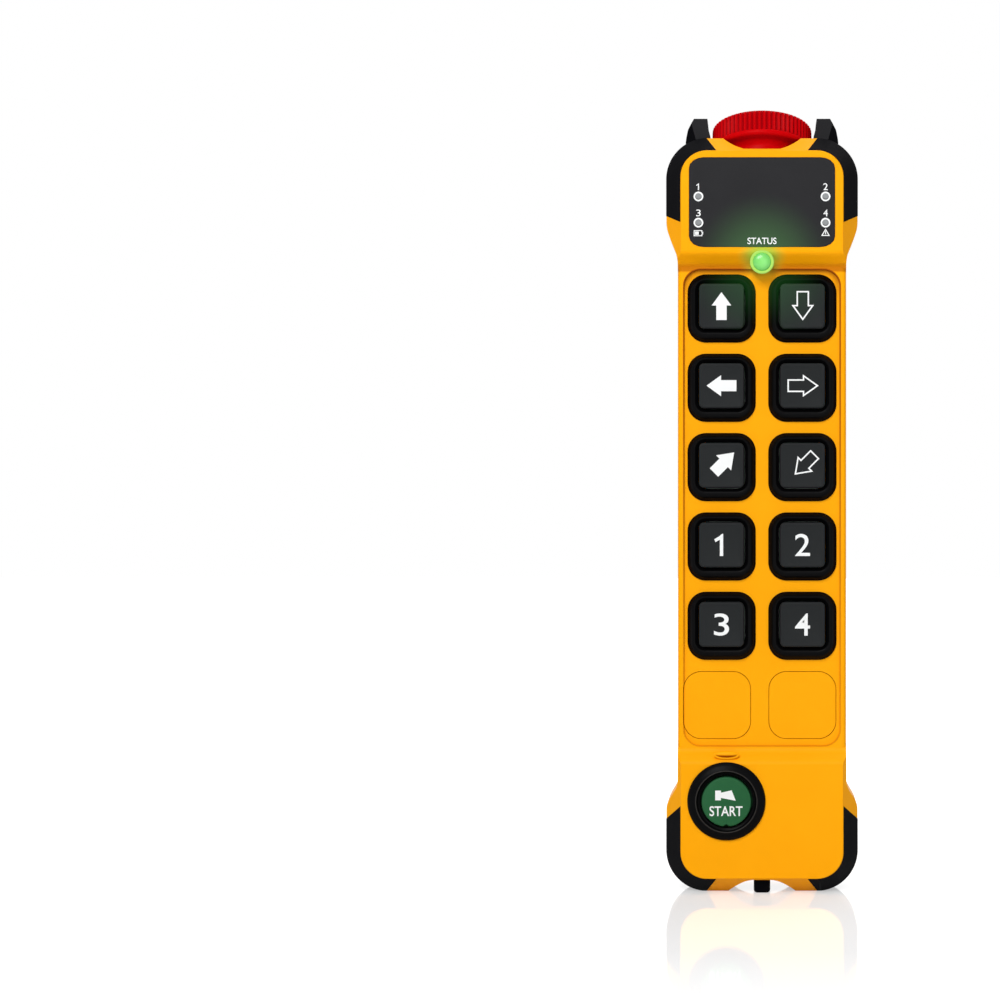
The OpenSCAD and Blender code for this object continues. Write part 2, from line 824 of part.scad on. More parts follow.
module label_plate() upright() color("#323234") difference() {
    translate([0, 0, head_front - label_deep]) linear_extrude(label_t) label_shape();
    window_places() post(window_d / 2 + seat, head_front - over, head_front + over);
}

module status_lens() upright() color("#7be86c") translate([0, lens_v, 0]) {
    post(lens_d / 2, panel_in, head_front - lens_proud);
    post(lens_flange_r, panel_in - lens_flange_t, panel_in - seat / 2);
    post(lens_d / 2 - seat, panel_in - lens_flange_t, panel_in);
    translate([0, 0, head_front - lens_proud])
        cylinder(r1 = lens_d / 2, r2 = lens_d / 2 - 2 * lens_proud, h = lens_proud);
    translate([0, 0, head_front])
        cylinder(r1 = lens_d / 2 - 2 * lens_proud, r2 = lens_d / 4, h = lens_proud);
}

module status_led() upright() color("#cfe8cf") translate([0, lens_v, 0]) {
    post(led_r, led_base, led_top);
    for (side = sides) translate([side * leg_x, 0, 0]) post(leg_r, board_front, led_base);
}

module indicator_lenses() upright() color("#8c8f92") window_places() {
    post(window_d / 2, window_end, head_front + label_t - label_deep);
    post(window_flange_r, head_in - window_flange_t, head_in - seat / 2);
}

module indicator_board(side) upright() color("#1f6b3a") {
    difference() {
        translate([side * window_x, ind_board_v, ind_board_z - ind_board.z])
            linear_extrude(ind_board.z) square([ind_board.x, ind_board.y], center = true);
        for (v = ind_peg_v) translate([side * window_x, v, 0])
            post(ind_peg_r + seat / 2, ind_board_z - ind_board.z - over, ind_board_z + over);
    }
    for (v = window_v) translate([side * window_x, v, ind_board_z])
        linear_extrude(chip.z) square([chip.x, chip.y], center = true);
}

module blank_plug(column) upright() color("#fdaa0f") translate([0, row_v(button_rows), 0]) {
    plug_w = boot_w - 2 * blank_fit;
    translate([place_x(button_rows, column), 0, 0]) plate(plug_w, plug_w, boot_r - seat, panel_in, recess_z);
    translate([column_x(column), 0, 0]) {
        plate(flange_w, flange_w, flange_r, boot_back, panel_in - seat / 2);
        plate(cap_w, cap_w, cap_r, boot_back, panel_in);
    }
}

module lanyard_post() upright() color("#161618") difference() {
    union() {
        translate([0, 0, -post_rear]) linear_extrude(post_front + post_rear) {
            top = cavity_low + seat;
            translate([0, (post_low + top) / 2]) rounded_rect(post_w, top - post_low, post_r);
            translate([-post_w / 2, top - 2 * post_r]) square([post_w, 2 * post_r]);
        }
        translate([-post_head_w / 2, cavity_low + seat, -post_rear])
            cube([post_head_w, post_head_t, post_head_front + post_rear]);
    }
    translate([-post_w, eye_v, (post_front - post_rear) / 2])
        rotate([0, 90, 0]) cylinder(r = eye_r, h = 2 * post_w);
}

module key_frame() upright() color("#232326") difference() {
    translate([0, (frame_low + frame_high) / 2, 0])
        plate(frame_w, frame_high - frame_low, board_r, frame_back, boot_back - seat / 2);
    for (i = [0 : len(places) - 1])
        if (i < 2 * button_rows)
            translate([places[i].x, places[i].y + cap_rise, 0])
                plate(frame_hole_w, frame_hole_w, cap_r, frame_back - over, boot_back + over);
    screw_places() post(boss_r + slip, frame_back - over, boot_back + over);
    translate([0, lens_v, 0]) post(led_r + slip, frame_back - over, boot_back + over);
}

module main_board() upright() color("#1f6b3a") difference() {
    translate([0, (board_low + board_high) / 2, 0])
        plate(board_w, board_high - board_low, board_r, board_back + seat / 2, board_front - seat / 2);
    for (side = sides, v = board_post_v)
        translate([side * post_x, v, 0]) post(board_screw_r + seat, board_back - over, board_front + over);
}

module board_screws() upright() color("#9a9da0")
    for (side = sides, v = board_post_v) translate([side * post_x, v, 0]) difference() {
        union() {
            post(board_screw_r - 2 * seat, board_back - board_screw_l, board_front);
            post(board_screw_head_r, board_front, board_front + board_screw_head_t);
        }
        translate([0, 0, board_front + board_screw_head_t / 2])
            cylinder(r = board_screw_r, h = board_screw_head_t, $fn = 6);
    }

module switch_housing(w, r, top) difference() {
    plate(w, w, switch_floor, board_front, top);
    post(r + run_fit, board_front + switch_floor, top + over);
}

module key_switches() upright() color("#303036")
    for (i = [0 : 2 * button_rows - 1])
        translate([places[i].x, places[i].y + cap_rise, 0]) switch_housing(switch_w, stem_r, switch_top);

module start_switch() upright() color("#303036") translate([-start_x, start_v, 0])
    switch_housing(start_switch_w, start_stem_r, start_switch_top);

module start_bezel() upright() color("#101012") translate([-start_x, start_v, 0]) difference() {
    union() {
        post(start_bezel_d / 2, foot_front, foot_front + start_flange_t);
        post(start_hole_r - seat, foot_in - start_lip_t / 2, foot_front + start_flange_t);
        post(start_lip_r, foot_in - start_lip_t, foot_in - seat / 2);
        translate([0, 0, foot_front + start_flange_t])
            cylinder(r1 = start_bezel_d / 2 - start_flange_t / 2, r2 = start_crest_r,
                h = start_crest_z - foot_front - start_flange_t);
    }
    post(start_bore_r, foot_in - start_lip_t - over, start_crest_z + over);
}

module start_cap() upright() color("#2d6e41") translate([-start_x, start_v, 0]) difference() {
    union() {
        post(start_cap_d / 2, start_stop_z[0], start_cap_z);
        post(start_stop_r, start_stop_z[0], start_stop_z[1]);
        post(start_stem_r, start_stem_end, start_stop_z[1]);
    }
    translate([0, -start_cap_d / 2, 0]) post(start_notch_r, foot_in, start_cap_z + over);
}

module radio_module() upright() color("#b9bcc0")
    translate([0, radio_v, board_back - radio.z])
        linear_extrude(radio.z) square([radio.x, radio.y], center = true);

module antenna() upright() color("#2b2b2e") translate([0, antenna_v, 0]) {
    translate([0, 0, board_back - antenna_base.z])
        linear_extrude(antenna_base.z) square([antenna_base.x, antenna_base.y], center = true);
    translate([0, 0, antenna_z + antenna_r / 2]) rotate([-90, 0, 0]) cylinder(r = antenna_r, h = antenna_h);
}

module battery_pack() upright() color("#4b4f55") translate([0, pack_v - bay_fit, 0])
    plate(pack_w, pack_h, bay_r, -bay_floor - bay_fit / 2 - pack_t, -bay_floor - bay_fit / 2);

module battery_contacts() upright() color("#d6b25e") contact_places()
    translate([-contact_w / 2, 0, seat - contact_t])
        cube([contact_w, contact_t - seat, contact_l]);

module battery_cover() upright() color("#fdaa0f") translate([0, pack_v, 0]) difference() {
    plate(cover_w, cover_h, cover_r, -grip_back, cover_z - seat / 2);
    for (end = sides) translate([0, end * cover_screw_v, 0]) {
        post(cover_screw_r + run_fit, -grip_back - over, cover_z + over);
        post(coin_r + seat, -grip_back - over, -grip_back + coin_t);
    }
    translate([0, cover_screw_v / 2, -grip_back]) linear_extrude(2 * grip_notch.z, center = true)
        rounded_rect(grip_notch.x, grip_notch.y, grip_notch.y / 2 - seat);
}

module cover_seal() upright() color("#1c1c1e") translate([0, pack_v, 0]) difference() {
    inner = 2 * (seal_in + seat / 2);
    outer = 2 * (seal_in + seal_w - seat / 2);
    plate(bay_w + outer, bay_h + outer, bay_r + outer / 2, cover_z, cover_z + seal_t);
    plate(bay_w + inner, bay_h + inner, bay_r + inner / 2, cover_z - over, cover_z + seal_t + over);
}

module cover_screws() upright() color("#9a9da0") translate([0, pack_v, 0])
    for (end = sides) translate([0, end * cover_screw_v, 0]) difference() {
        union() {
            post(cover_screw_r, -grip_back + coin_t - seat, cover_screw_tip);
            post(coin_r, -grip_back, -grip_back + coin_t - seat);
        }
        translate([0, 0, -grip_back]) cube([3 * coin_r, coin_slot, 2 * coin_slot_deep], center = true);
    }

module stop_collar() upright() on_stop_axis() color("#2b2b2e") difference() {
    union() {
        post(collar_r, well_low + stop_seal_t, well_low + stop_seal_t + collar_t);
        post(barrel_r, barrel_low, well_low + stop_seal_t + collar_t);
    }
    post(stop_stem_r + run_fit, barrel_low - over, well_low + stop_seal_t + collar_t + over);
}

module stop_seal() upright() on_stop_axis() color("#1c1c1e") difference() {
    post(collar_r - stop_seal_t, well_low, well_low + stop_seal_t);
    post(stop_hole_r, well_low - over, well_low + stop_seal_t + over);
}

module stop_nut() upright() on_stop_axis() color("#b9bcc0") difference() {
    translate([0, 0, well_low - cup_wall - nut_gap - nut_t]) cylinder(r = nut_r, h = nut_t, $fn = 6);
    post(barrel_r + seat / 2, well_low - cup_wall - nut_t - over, well_low);
}

module stop_stem() upright() on_stop_axis() color("#c9ccd0")
    post(stop_stem_r, stop_stem_low, stop_stem_top);

module stop_contact_block() upright() on_stop_axis() color("#39393d") difference() {
    translate([-block_w / 2, -block_front, block_low])
        cube([block_w, block_front + block_rear, barrel_low - seat - block_low]);
    post(stop_stem_r + slip, barrel_low - seat - block_socket, barrel_low + over);
}

module stop_knob() upright() on_stop_axis() color("#d7050f") difference() {
    union() {
        post(skirt_r, skirt_low, rim_h);
        post(knob_r, rim_low, rim_h);
        translate([0, 0, rim_h - seat]) linear_extrude(band_h + seat)
            polygon([for (i = [0 : 2 * knob_ribs - 1])
                let (r = knob_r - rib_inset - (i % 2) * rib_deep, turn = 180 * i / knob_ribs)
                r * [cos(turn), sin(turn)]]);
        translate([0, 0, knob_top])
            cylinder(r1 = knob_r - rib_deep - 2 * rib_inset, r2 = knob_r - 2 * crown_edge, h = crown_edge);
        translate([0, 0, knob_top + crown_edge])
            cylinder(r1 = knob_r - 2 * crown_edge, r2 = knob_r / 2, h = crown_h - crown_edge);
    }
    difference() {
        post(skirt_r - skirt_wall, skirt_low - over, knob_hollow);
        post(hub_r, skirt_low - 2 * over, knob_hollow + over);
    }
    post(stop_stem_r + run_fit, skirt_low - over, stop_stem_top + run_fit);
}

module boot(place) upright() color("#0d0d0e") translate(place) difference() {
    union() {
        plate(boot_w, boot_w, boot_r, panel_in - seat, recess_z);
        plate(flange_w, flange_w, flange_r, boot_back, panel_in - seat / 2);
        hull() {
            plate(boot_w, boot_w, boot_r, recess_z - slab_t, recess_z, $fn = 32);
            translate([0, cap_rise, 0])
                plate(crest_w, crest_w, crest_r, recess_z + crest_h - slab_t, recess_z + crest_h, $fn = 32);
        }
    }
    translate([0, cap_rise, 0])
        plate(boot_hole_w, boot_hole_w, cap_r + cap_fit, boot_back - over, recess_z + crest_h + over);
}

module button(place) upright() color("#262729") translate([place.x, place.y + cap_rise, 0]) {
    face_z = recess_z + cap_h;
    face_w = cap_w - 2 * cap_bevel;
    plate(cap_w, cap_w, cap_r, boot_back - slip, face_z - cap_bevel);
    hull() {
        plate(cap_w, cap_w, cap_r, face_z - cap_bevel - slab_t, face_z - cap_bevel, $fn = 32);
        plate(face_w, face_w, cap_r - cap_bevel, face_z - slab_t, face_z, $fn = 32);
    }
    plate(cap_flange_w, cap_flange_w, cap_r, boot_back - slip - cap_flange_t, boot_back - slip);
    post(stem_r, stem_end, boot_back - slip - cap_flange_t / 2);
}

front_shell();
rear_shell();
case_gasket();
case_screws();
label_plate();
status_lens();
status_led();
indicator_lenses();
indicator_board(-1);  // indicator_board_left
indicator_board(1);  // indicator_board_right
blank_plug(0);  // blank_plug_left
blank_plug(1);  // blank_plug_right
upright() bumper(-1, 1);  // upper_bumper_left
upright() bumper(1, 1);  // upper_bumper_right
upright() bumper(-1, -1);  // lower_bumper_left
upright() bumper(1, -1);  // lower_bumper_right
lanyard_post();
key_frame();
main_board();
board_screws();
key_switches();
start_switch();
start_bezel();
start_cap();
radio_module();
antenna();
battery_pack();
battery_contacts();
battery_cover();
cover_seal();
cover_screws();
stop_collar();
stop_seal();
stop_nut();
stop_stem();
stop_knob();
stop_contact_block();
for (i = [0 : len(button_nodes) - 1]) {
    button(places[i]);
    boot(places[i]);
}
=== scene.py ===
# %% [markdown]
# # A crane radio remote, dressed for its picture
#
# The remote is a tall yellow case with black rubber corners, ten square keys, a round
# START key and a tilted red stop knob. The solids come from a CAD frame that is loaded
# first. They fix every size and every moving body, so each piece made here is drawn in
# metres, in the same place, and only has to look right.

# %% Load the frame
import math

import bmesh
import bpy
from mathutils import Matrix, Vector


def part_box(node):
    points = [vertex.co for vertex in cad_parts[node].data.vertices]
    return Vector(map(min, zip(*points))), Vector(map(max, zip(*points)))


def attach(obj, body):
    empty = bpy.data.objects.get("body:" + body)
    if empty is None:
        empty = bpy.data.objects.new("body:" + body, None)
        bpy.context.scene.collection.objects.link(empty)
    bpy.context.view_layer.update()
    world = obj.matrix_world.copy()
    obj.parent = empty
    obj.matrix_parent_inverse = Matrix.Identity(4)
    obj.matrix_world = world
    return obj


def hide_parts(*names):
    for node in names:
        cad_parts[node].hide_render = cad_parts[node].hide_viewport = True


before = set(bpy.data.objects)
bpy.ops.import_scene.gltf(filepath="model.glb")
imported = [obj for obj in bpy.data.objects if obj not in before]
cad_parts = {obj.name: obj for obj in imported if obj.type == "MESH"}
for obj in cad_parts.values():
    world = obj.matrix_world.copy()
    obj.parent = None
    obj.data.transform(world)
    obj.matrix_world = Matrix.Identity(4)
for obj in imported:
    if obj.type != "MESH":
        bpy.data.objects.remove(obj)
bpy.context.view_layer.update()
MM = 0.001

# %% [markdown]
# ## Where things are
#
# The case stands on its foot with Z up and its keys towards -Y. It is easiest to draw a
# legend or a ring flat on the XY plane with +Z out of the case, and to stand it up
# afterwards. One matrix does that, and the CAD boxes say where each piece sits. Sizes of
# pieces are given in millimetres, and MM turns them into metres. What comes from the CAD
# boxes is in metres already, and so are the places of the camera, the floor and the lamps.

# %% Places taken from the frame
STAND_UP = Matrix.Rotation(math.radians(90), 4, "X")


def middle(node):
    low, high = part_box(node)
    return (Vector(low) + Vector(high)) / 2


def front_of(node):
    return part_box(node)[0][1]


def on_front(x, y, z):
    return Matrix.Translation(Vector((x, y, z))) @ STAND_UP


label_front = front_of("label_plate")
key_front = front_of("button_up")
print("label face at", round(label_front / MM, 2), "mm, key face at", round(key_front / MM, 2), "mm")

# %% [markdown]
# ## The camera
#
# The picture shows the remote square on, right of the middle, with no tilt, at 2.85 pixels
# to a millimetre. A long lens a metre away gives the same faint perspective, and a sideways
# shift moves the remote off centre without turning it, which pointing the camera aside
# would do.

# %% Camera
PHOTO_SCALE = 2.85
IMAGE_W = 1000
OBJECT_PX = 762
SENSOR_W = 36
CAMERA_AWAY = 1.0
EYE_HEIGHT = 0.1383
FACE_Y = -0.019

camera_data = bpy.data.cameras.new("camera")
camera_data.sensor_width = SENSOR_W
camera_data.lens = SENSOR_W * CAMERA_AWAY * PHOTO_SCALE / IMAGE_W / MM
camera_data.shift_x = (IMAGE_W / 2 - OBJECT_PX) / IMAGE_W
camera = bpy.data.objects.new("camera", camera_data)
camera.location = (0, FACE_Y - CAMERA_AWAY, EYE_HEIGHT)
camera.rotation_euler = (math.radians(90), 0, 0)
bpy.context.scene.collection.objects.link(camera)
bpy.context.scene.camera = camera
print("lens", round(camera_data.lens, 1), "mm")

# %% [markdown]
# ## Helpers for node trees
#
# Every finish is built from the same few moves: a sum, a soft fade, a noise over the
# surface, and one more colour mixed over what the finish has so far, which paints light
# and shade. Patterns read the place on the piece in metres, so they keep their real scale
# and ride with a moving piece.

# %% Helpers for node trees
def add_sockets(group, inputs, outputs):
    for name, value in inputs.items():
        socket = group.interface.new_socket(name=name, in_out="INPUT", socket_type="NodeSocketFloat")
        socket.default_value = value
    for name in outputs:
        group.interface.new_socket(name=name, in_out="OUTPUT", socket_type="NodeSocketFloat")


def calc(tree, operation, *values):
    """One Math node; each value is a number or another node's output."""
    node = tree.nodes.new("ShaderNodeMath")
    node.operation = operation
    for socket, value in zip(node.inputs, values):
        if isinstance(value, bpy.types.NodeSocket):
            tree.links.new(value, socket)
        else:
            socket.default_value = value
    return node.outputs["Value"]


def fade(tree, value, start, end):
    """0 at start and 1 at end, with soft shoulders."""
    node = tree.nodes.new("ShaderNodeMapRange")
    node.interpolation_type = "SMOOTHSTEP"
    node.inputs["From Min"].default_value = start
    node.inputs["From Max"].default_value = end
    tree.links.new(value, node.inputs["Value"])
    return node.outputs["Result"]


def place_on_piece(tree):
    return tree.nodes.new("ShaderNodeTexCoord").outputs["Object"]


def split_place(tree):
    """X, Y and Z of the place on a piece, each as an output."""
    split = tree.nodes.new("ShaderNodeSeparateXYZ")
    tree.links.new(place_on_piece(tree), split.inputs["Vector"])
    return split.outputs


def noise(tree, scale_from, detail, rough):
    texture = tree.nodes.new("ShaderNodeTexNoise")
    texture.inputs["Detail"].default_value = detail
    texture.inputs["Roughness"].default_value = rough
    tree.links.new(place_on_piece(tree), texture.inputs["Vector"])
    tree.links.new(scale_from, texture.inputs["Scale"])
    return texture.outputs["Fac"]


def paint_light_or_shade(material, mask, colour):
    """Mix a colour over the base colour that a finish has so far, as far as a mask says; this paints light
    and shade.
    """
    tree = material.node_tree
    base = tree.nodes["Principled BSDF"].inputs["Base Color"]
    mix = tree.nodes.new("ShaderNodeMix")
    mix.data_type = "RGBA"
    mix.inputs["B"].default_value = colour
    tree.links.new(base.links[0].from_socket, mix.inputs["A"])
    tree.links.new(mask, mix.inputs["Factor"])
    tree.links.new(mix.outputs["Result"], base)


print("node helpers ready")

# %% [markdown]
# ## Effects that several finishes share
#
# Moulded plastic is never one flat colour: it has a fine spark-eroded grain, faint cloudy
# patches and finger marks that change its gloss. The pattern is made once, as a group
# that gives a height for the bump, a tone for the colour and a smudge for the roughness.

# %% Node group for moulded surfaces
GRAIN_SCALE = 2500
PATCH_SCALE = 60
SMUDGES_PER_PATCH = 2.7

moulded = bpy.data.node_groups.new("moulded_surface", "ShaderNodeTree")
add_sockets(moulded, {"Grain Scale": GRAIN_SCALE, "Patch Scale": PATCH_SCALE}, ["Height", "Tone", "Smudge"])
group_in = moulded.nodes.new("NodeGroupInput")
group_out = moulded.nodes.new("NodeGroupOutput")
smudge_scale = calc(moulded, "MULTIPLY", group_in.outputs["Patch Scale"], SMUDGES_PER_PATCH)
grain = noise(moulded, group_in.outputs["Grain Scale"], detail=3, rough=0.6)
patch = noise(moulded, group_in.outputs["Patch Scale"], detail=4, rough=0.55)
smudge = noise(moulded, smudge_scale, detail=5, rough=0.62)
moulded.links.new(grain, group_out.inputs["Height"])
moulded.links.new(patch, group_out.inputs["Tone"])
moulded.links.new(smudge, group_out.inputs["Smudge"])
print("shared effect:", moulded.name)

# %% [markdown]
# ## One recipe for every plastic and rubber
#
# Each finish uses that group with its own numbers. The tone mixes two close colours, the
# smudge moves the roughness a little either way, and the grain feeds a shallow bump. What
# is even over the whole surface, such as the gloss of a coat, is set on the shader itself.

# %% Finishes
GRAIN_HEIGHT = 0.02 * MM
GLOSS_SPREAD = 0.08


def srgb(r, g, b):
    """A linear colour from the three values, up to 255, that a screen shows."""
    def linear(c):
        c = c / 255
        return c / 12.92 if c <= 0.04045 else ((c + 0.055) / 1.055) ** 2.4
    return (linear(r), linear(g), linear(b), 1)


def finish(name, colour, deep, rough, grain_scale=GRAIN_SCALE, bump=0.15, coat=0.0, metallic=0.0,
           mirror=0.5):
    material = bpy.data.materials.new(name)
    material.use_nodes = True
    nodes = material.node_tree.nodes
    links = material.node_tree.links
    shader = nodes["Principled BSDF"]
    pattern = nodes.new("ShaderNodeGroup")
    pattern.node_tree = moulded
    pattern.inputs["Grain Scale"].default_value = grain_scale
    pattern.inputs["Patch Scale"].default_value = PATCH_SCALE
    tone = nodes.new("ShaderNodeMix")
    tone.data_type = "RGBA"
    tone.inputs["A"].default_value = colour
    tone.inputs["B"].default_value = deep
    links.new(pattern.outputs["Tone"], tone.inputs["Factor"])
    links.new(tone.outputs["Result"], shader.inputs["Base Color"])
    gloss = nodes.new("ShaderNodeMapRange")
    gloss.inputs["To Min"].default_value = rough - GLOSS_SPREAD
    gloss.inputs["To Max"].default_value = rough + GLOSS_SPREAD
    links.new(pattern.outputs["Smudge"], gloss.inputs["Value"])
    links.new(gloss.outputs["Result"], shader.inputs["Roughness"])
    relief = nodes.new("ShaderNodeBump")
    relief.inputs["Strength"].default_value = bump
    relief.inputs["Distance"].default_value = GRAIN_HEIGHT
    links.new(pattern.outputs["Height"], relief.inputs["Height"])
    links.new(relief.outputs["Normal"], shader.inputs["Normal"])
    shader.inputs["Coat Weight"].default_value = coat
    shader.inputs["Metallic"].default_value = metallic
    shader.inputs["Specular IOR Level"].default_value = mirror
    return material


yellow_plastic = finish("yellow_plastic", srgb(255, 172, 8), srgb(250, 165, 3), 0.42, mirror=0.05)
plain_yellow = finish("plain_yellow", srgb(255, 172, 8), srgb(250, 165, 3), 0.42, mirror=0.05)
bumper_rubber = finish("bumper_rubber", srgb(2, 2, 4), srgb(5, 5, 8), 0.5, bump=0.25,
                       grain_scale=1800, mirror=0.02)
# A lighter grey rubber for the front faces of the guard ears, as a painted highlight.
lit_ear_rubber = finish("lit_ear_rubber", srgb(33, 33, 35), srgb(27, 27, 29), 0.55, bump=0.25, mirror=0.05)
boot_rubber = finish("boot_rubber", srgb(3, 3, 4), srgb(6, 6, 7), 0.34, mirror=0.04)
key_plastic = finish("key_plastic", srgb(32, 34, 35), srgb(38, 40, 41), 0.45, bump=0.3, mirror=0.05)
knob_plastic = finish("knob_plastic", srgb(202, 3, 8), srgb(191, 1, 6), 0.35, bump=0.08, mirror=0.025)
start_plastic = finish("start_plastic", srgb(43, 98, 61), srgb(36, 86, 52), 0.45, bump=0.4,
                       grain_scale=1500, mirror=0.05)
label_film = finish("label_film", srgb(38, 38, 40), srgb(44, 44, 46), 0.5, grain_scale=5200, bump=0.5,
                    mirror=0.04)
legend_ink = finish("legend_ink", srgb(240, 242, 242), srgb(228, 230, 230), 0.5, bump=0.05)
lamp_grey = finish("lamp_grey", srgb(128, 132, 134), srgb(110, 114, 116), 0.3, coat=0.3, bump=0.02)
inner_black = finish("inner_black", srgb(40, 41, 45), srgb(50, 51, 55), 0.55)
board_green = finish("board_green", srgb(28, 100, 52), srgb(22, 84, 44), 0.35, coat=0.3, bump=0.05)
pack_shrink = finish("pack_shrink", srgb(74, 79, 85), srgb(84, 90, 96), 0.4, bump=0.1)
screw_steel = finish("screw_steel", srgb(178, 180, 182), srgb(160, 162, 165), 0.32, metallic=1.0,
                     grain_scale=900, bump=0.1)
contact_brass = finish("contact_brass", srgb(214, 178, 94), srgb(196, 158, 76), 0.3, metallic=1.0)
print("finishes:", len(bpy.data.materials))

# %% [markdown]
# ## Painted shade at the edge of the key panel
#
# The keys sit in a shallow recess with round corners. Its edge gets a painted shadow line
# in dark orange, strongest under the head and faint near the foot, with a band of painted
# shade just inside the upper end. The slope under the head gets painted shade that darkens
# towards its foot in the same way. A node group measures the distance to that rounded
# outline and gives a mask for the line, one for the shade and one for the slope. The
# material mixes a deeper orange in by those masks, as painted shade.

# %% Node group for the painted shade at the recess edge
RECESS_W = 55.2
RECESS_LOW = 51.5
RECESS_HIGH = 219.7
RECESS_R = 6.0
LINE_W = 0.45
LINE_CORE = 0.3
LINE_AT_FOOT = 0.35
SHADE_W = 2.8
SHADE_PEAK = -0.1
SHADE_END = 0.15
SHADE_FROM = RECESS_HIGH - 12
SHADE_FULL = RECESS_HIGH - 1
SLOPE_FOOT = 220.2
SLOPE_DARKENS = (SLOPE_FOOT + 2.3, SLOPE_FOOT + 0.2)
SLOPE_ENDS = (SLOPE_FOOT - 1.9, SLOPE_FOOT - 0.9)
SLOPE_FRONT = (-8, -12)

recess_painted_shade = bpy.data.node_groups.new("recess_painted_shade", "ShaderNodeTree")
add_sockets(recess_painted_shade, {"Line Width": LINE_W * MM, "Shade Width": SHADE_W * MM},
            ["Line", "Shade", "Slope"])
edge_in = recess_painted_shade.nodes.new("NodeGroupInput")
edge_out = recess_painted_shade.nodes.new("NodeGroupOutput")
at = split_place(recess_painted_shade)


def edge_calc(operation, *values):
    return calc(recess_painted_shade, operation, *values)


def edge_fade(value, start, end):
    return fade(recess_painted_shade, value, start, end)


centre_z = (RECESS_LOW + RECESS_HIGH) / 2 * MM
half_x = (RECESS_W / 2 - RECESS_R) * MM
half_z = ((RECESS_HIGH - RECESS_LOW) / 2 - RECESS_R) * MM
over_x = edge_calc("SUBTRACT", edge_calc("ABSOLUTE", at["X"]), half_x)
from_centre = edge_calc("SUBTRACT", at["Z"], centre_z)
over_z = edge_calc("SUBTRACT", edge_calc("ABSOLUTE", from_centre), half_z)
corner_x = edge_calc("POWER", edge_calc("MAXIMUM", over_x, 0.0), 2.0)
corner_z = edge_calc("POWER", edge_calc("MAXIMUM", over_z, 0.0), 2.0)
outside = edge_calc("SQRT", edge_calc("ADD", corner_x, corner_z))
inside = edge_calc("MINIMUM", edge_calc("MAXIMUM", over_x, over_z), 0.0)
to_edge = edge_calc("SUBTRACT", edge_calc("ADD", outside, inside), RECESS_R * MM)

# The painted shadow line runs on both sides of the outline, and fades towards the foot.
near = edge_calc("DIVIDE", edge_calc("ABSOLUTE", to_edge), edge_in.outputs["Line Width"])
height = edge_fade(at["Z"], RECESS_LOW * MM, RECESS_HIGH * MM)
weight = edge_calc("MULTIPLY_ADD", height, 1 - LINE_AT_FOOT, LINE_AT_FOOT)
line = edge_calc("MULTIPLY", edge_fade(near, 1.0, LINE_CORE), weight)

# The painted shade lies inside the outline, where the distance is negative, at the upper end.
depth = edge_calc("DIVIDE", to_edge, edge_in.outputs["Shade Width"])
band = edge_calc("MULTIPLY", edge_fade(depth, -1.0, SHADE_PEAK), edge_fade(depth, SHADE_END, 0.0))
top_end = edge_fade(at["Z"], SHADE_FROM * MM, SHADE_FULL * MM)
shade = edge_calc("MULTIPLY", band, top_end)

# The painted shade on the slope darkens downwards, on the front of the case only.
falling = edge_fade(at["Z"], SLOPE_DARKENS[0] * MM, SLOPE_DARKENS[1] * MM)
ending = edge_fade(at["Z"], SLOPE_ENDS[0] * MM, SLOPE_ENDS[1] * MM)
in_front = edge_fade(at["Y"], SLOPE_FRONT[0] * MM, SLOPE_FRONT[1] * MM)
slope = edge_calc("MULTIPLY", edge_calc("MULTIPLY", falling, ending), in_front)

recess_painted_shade.links.new(line, edge_out.inputs["Line"])
recess_painted_shade.links.new(shade, edge_out.inputs["Shade"])
recess_painted_shade.links.new(slope, edge_out.inputs["Slope"])

# Painted shade: deeper oranges mixed into the yellow by the line, shade and slope masks.
RECESS_SHADE_COLOURS = {"Slope": srgb(199, 118, 2), "Shade": srgb(190, 116, 4), "Line": srgb(168, 86, 0)}
recess_shade_masks = yellow_plastic.node_tree.nodes.new("ShaderNodeGroup")
recess_shade_masks.node_tree = recess_painted_shade
for mask, colour in RECESS_SHADE_COLOURS.items():
    paint_light_or_shade(yellow_plastic, recess_shade_masks.outputs[mask], colour)
print("shared effect:", recess_painted_shade.name, "with masks", sorted(RECESS_SHADE_COLOURS))

# %% [markdown]
# ## The lamp and its painted light on the case
#
# The status lamp glows, and some of its green light is painted on what is round it: the
# yellow slope, the label above and the first pair of keys. A soft round mask is measured
# from the front of the lamp, so it stays in place from every side. On the dark pieces the
# finish gives out a little painted light. Yellow can't turn green by adding, so there the
# mask also mixes the colour, as painted light.

# %% Lamp finish and painted glow on what is near
lens_centre = middle("status_lens")
lens_front = front_of("status_lens")


def lamp_mask(material, inner, outer):
    """1 within inner millimetres of the lamp and 0 beyond outer."""
    tree = material.node_tree
    distance = tree.nodes.new("ShaderNodeVectorMath")
    distance.operation = "DISTANCE"
    distance.inputs[1].default_value = (0, lens_front, lens_centre.z)
    tree.links.new(place_on_piece(tree), distance.inputs[0])
    return fade(tree, distance.outputs["Value"], outer * MM, inner * MM)


def glow(material, inner, outer, colour, strength):
    """Painted light of a colour round the lamp, given out by the finish itself."""
    tree = material.node_tree
    light = tree.nodes.new("ShaderNodeMix")
    light.data_type = "RGBA"
    light.inputs["A"].default_value = (0, 0, 0, 1)
    light.inputs["B"].default_value = colour
    tree.links.new(lamp_mask(material, inner, outer), light.inputs["Factor"])
    shader = tree.nodes["Principled BSDF"]
    tree.links.new(light.outputs["Result"], shader.inputs["Emission Color"])
    shader.inputs["Emission Strength"].default_value = strength
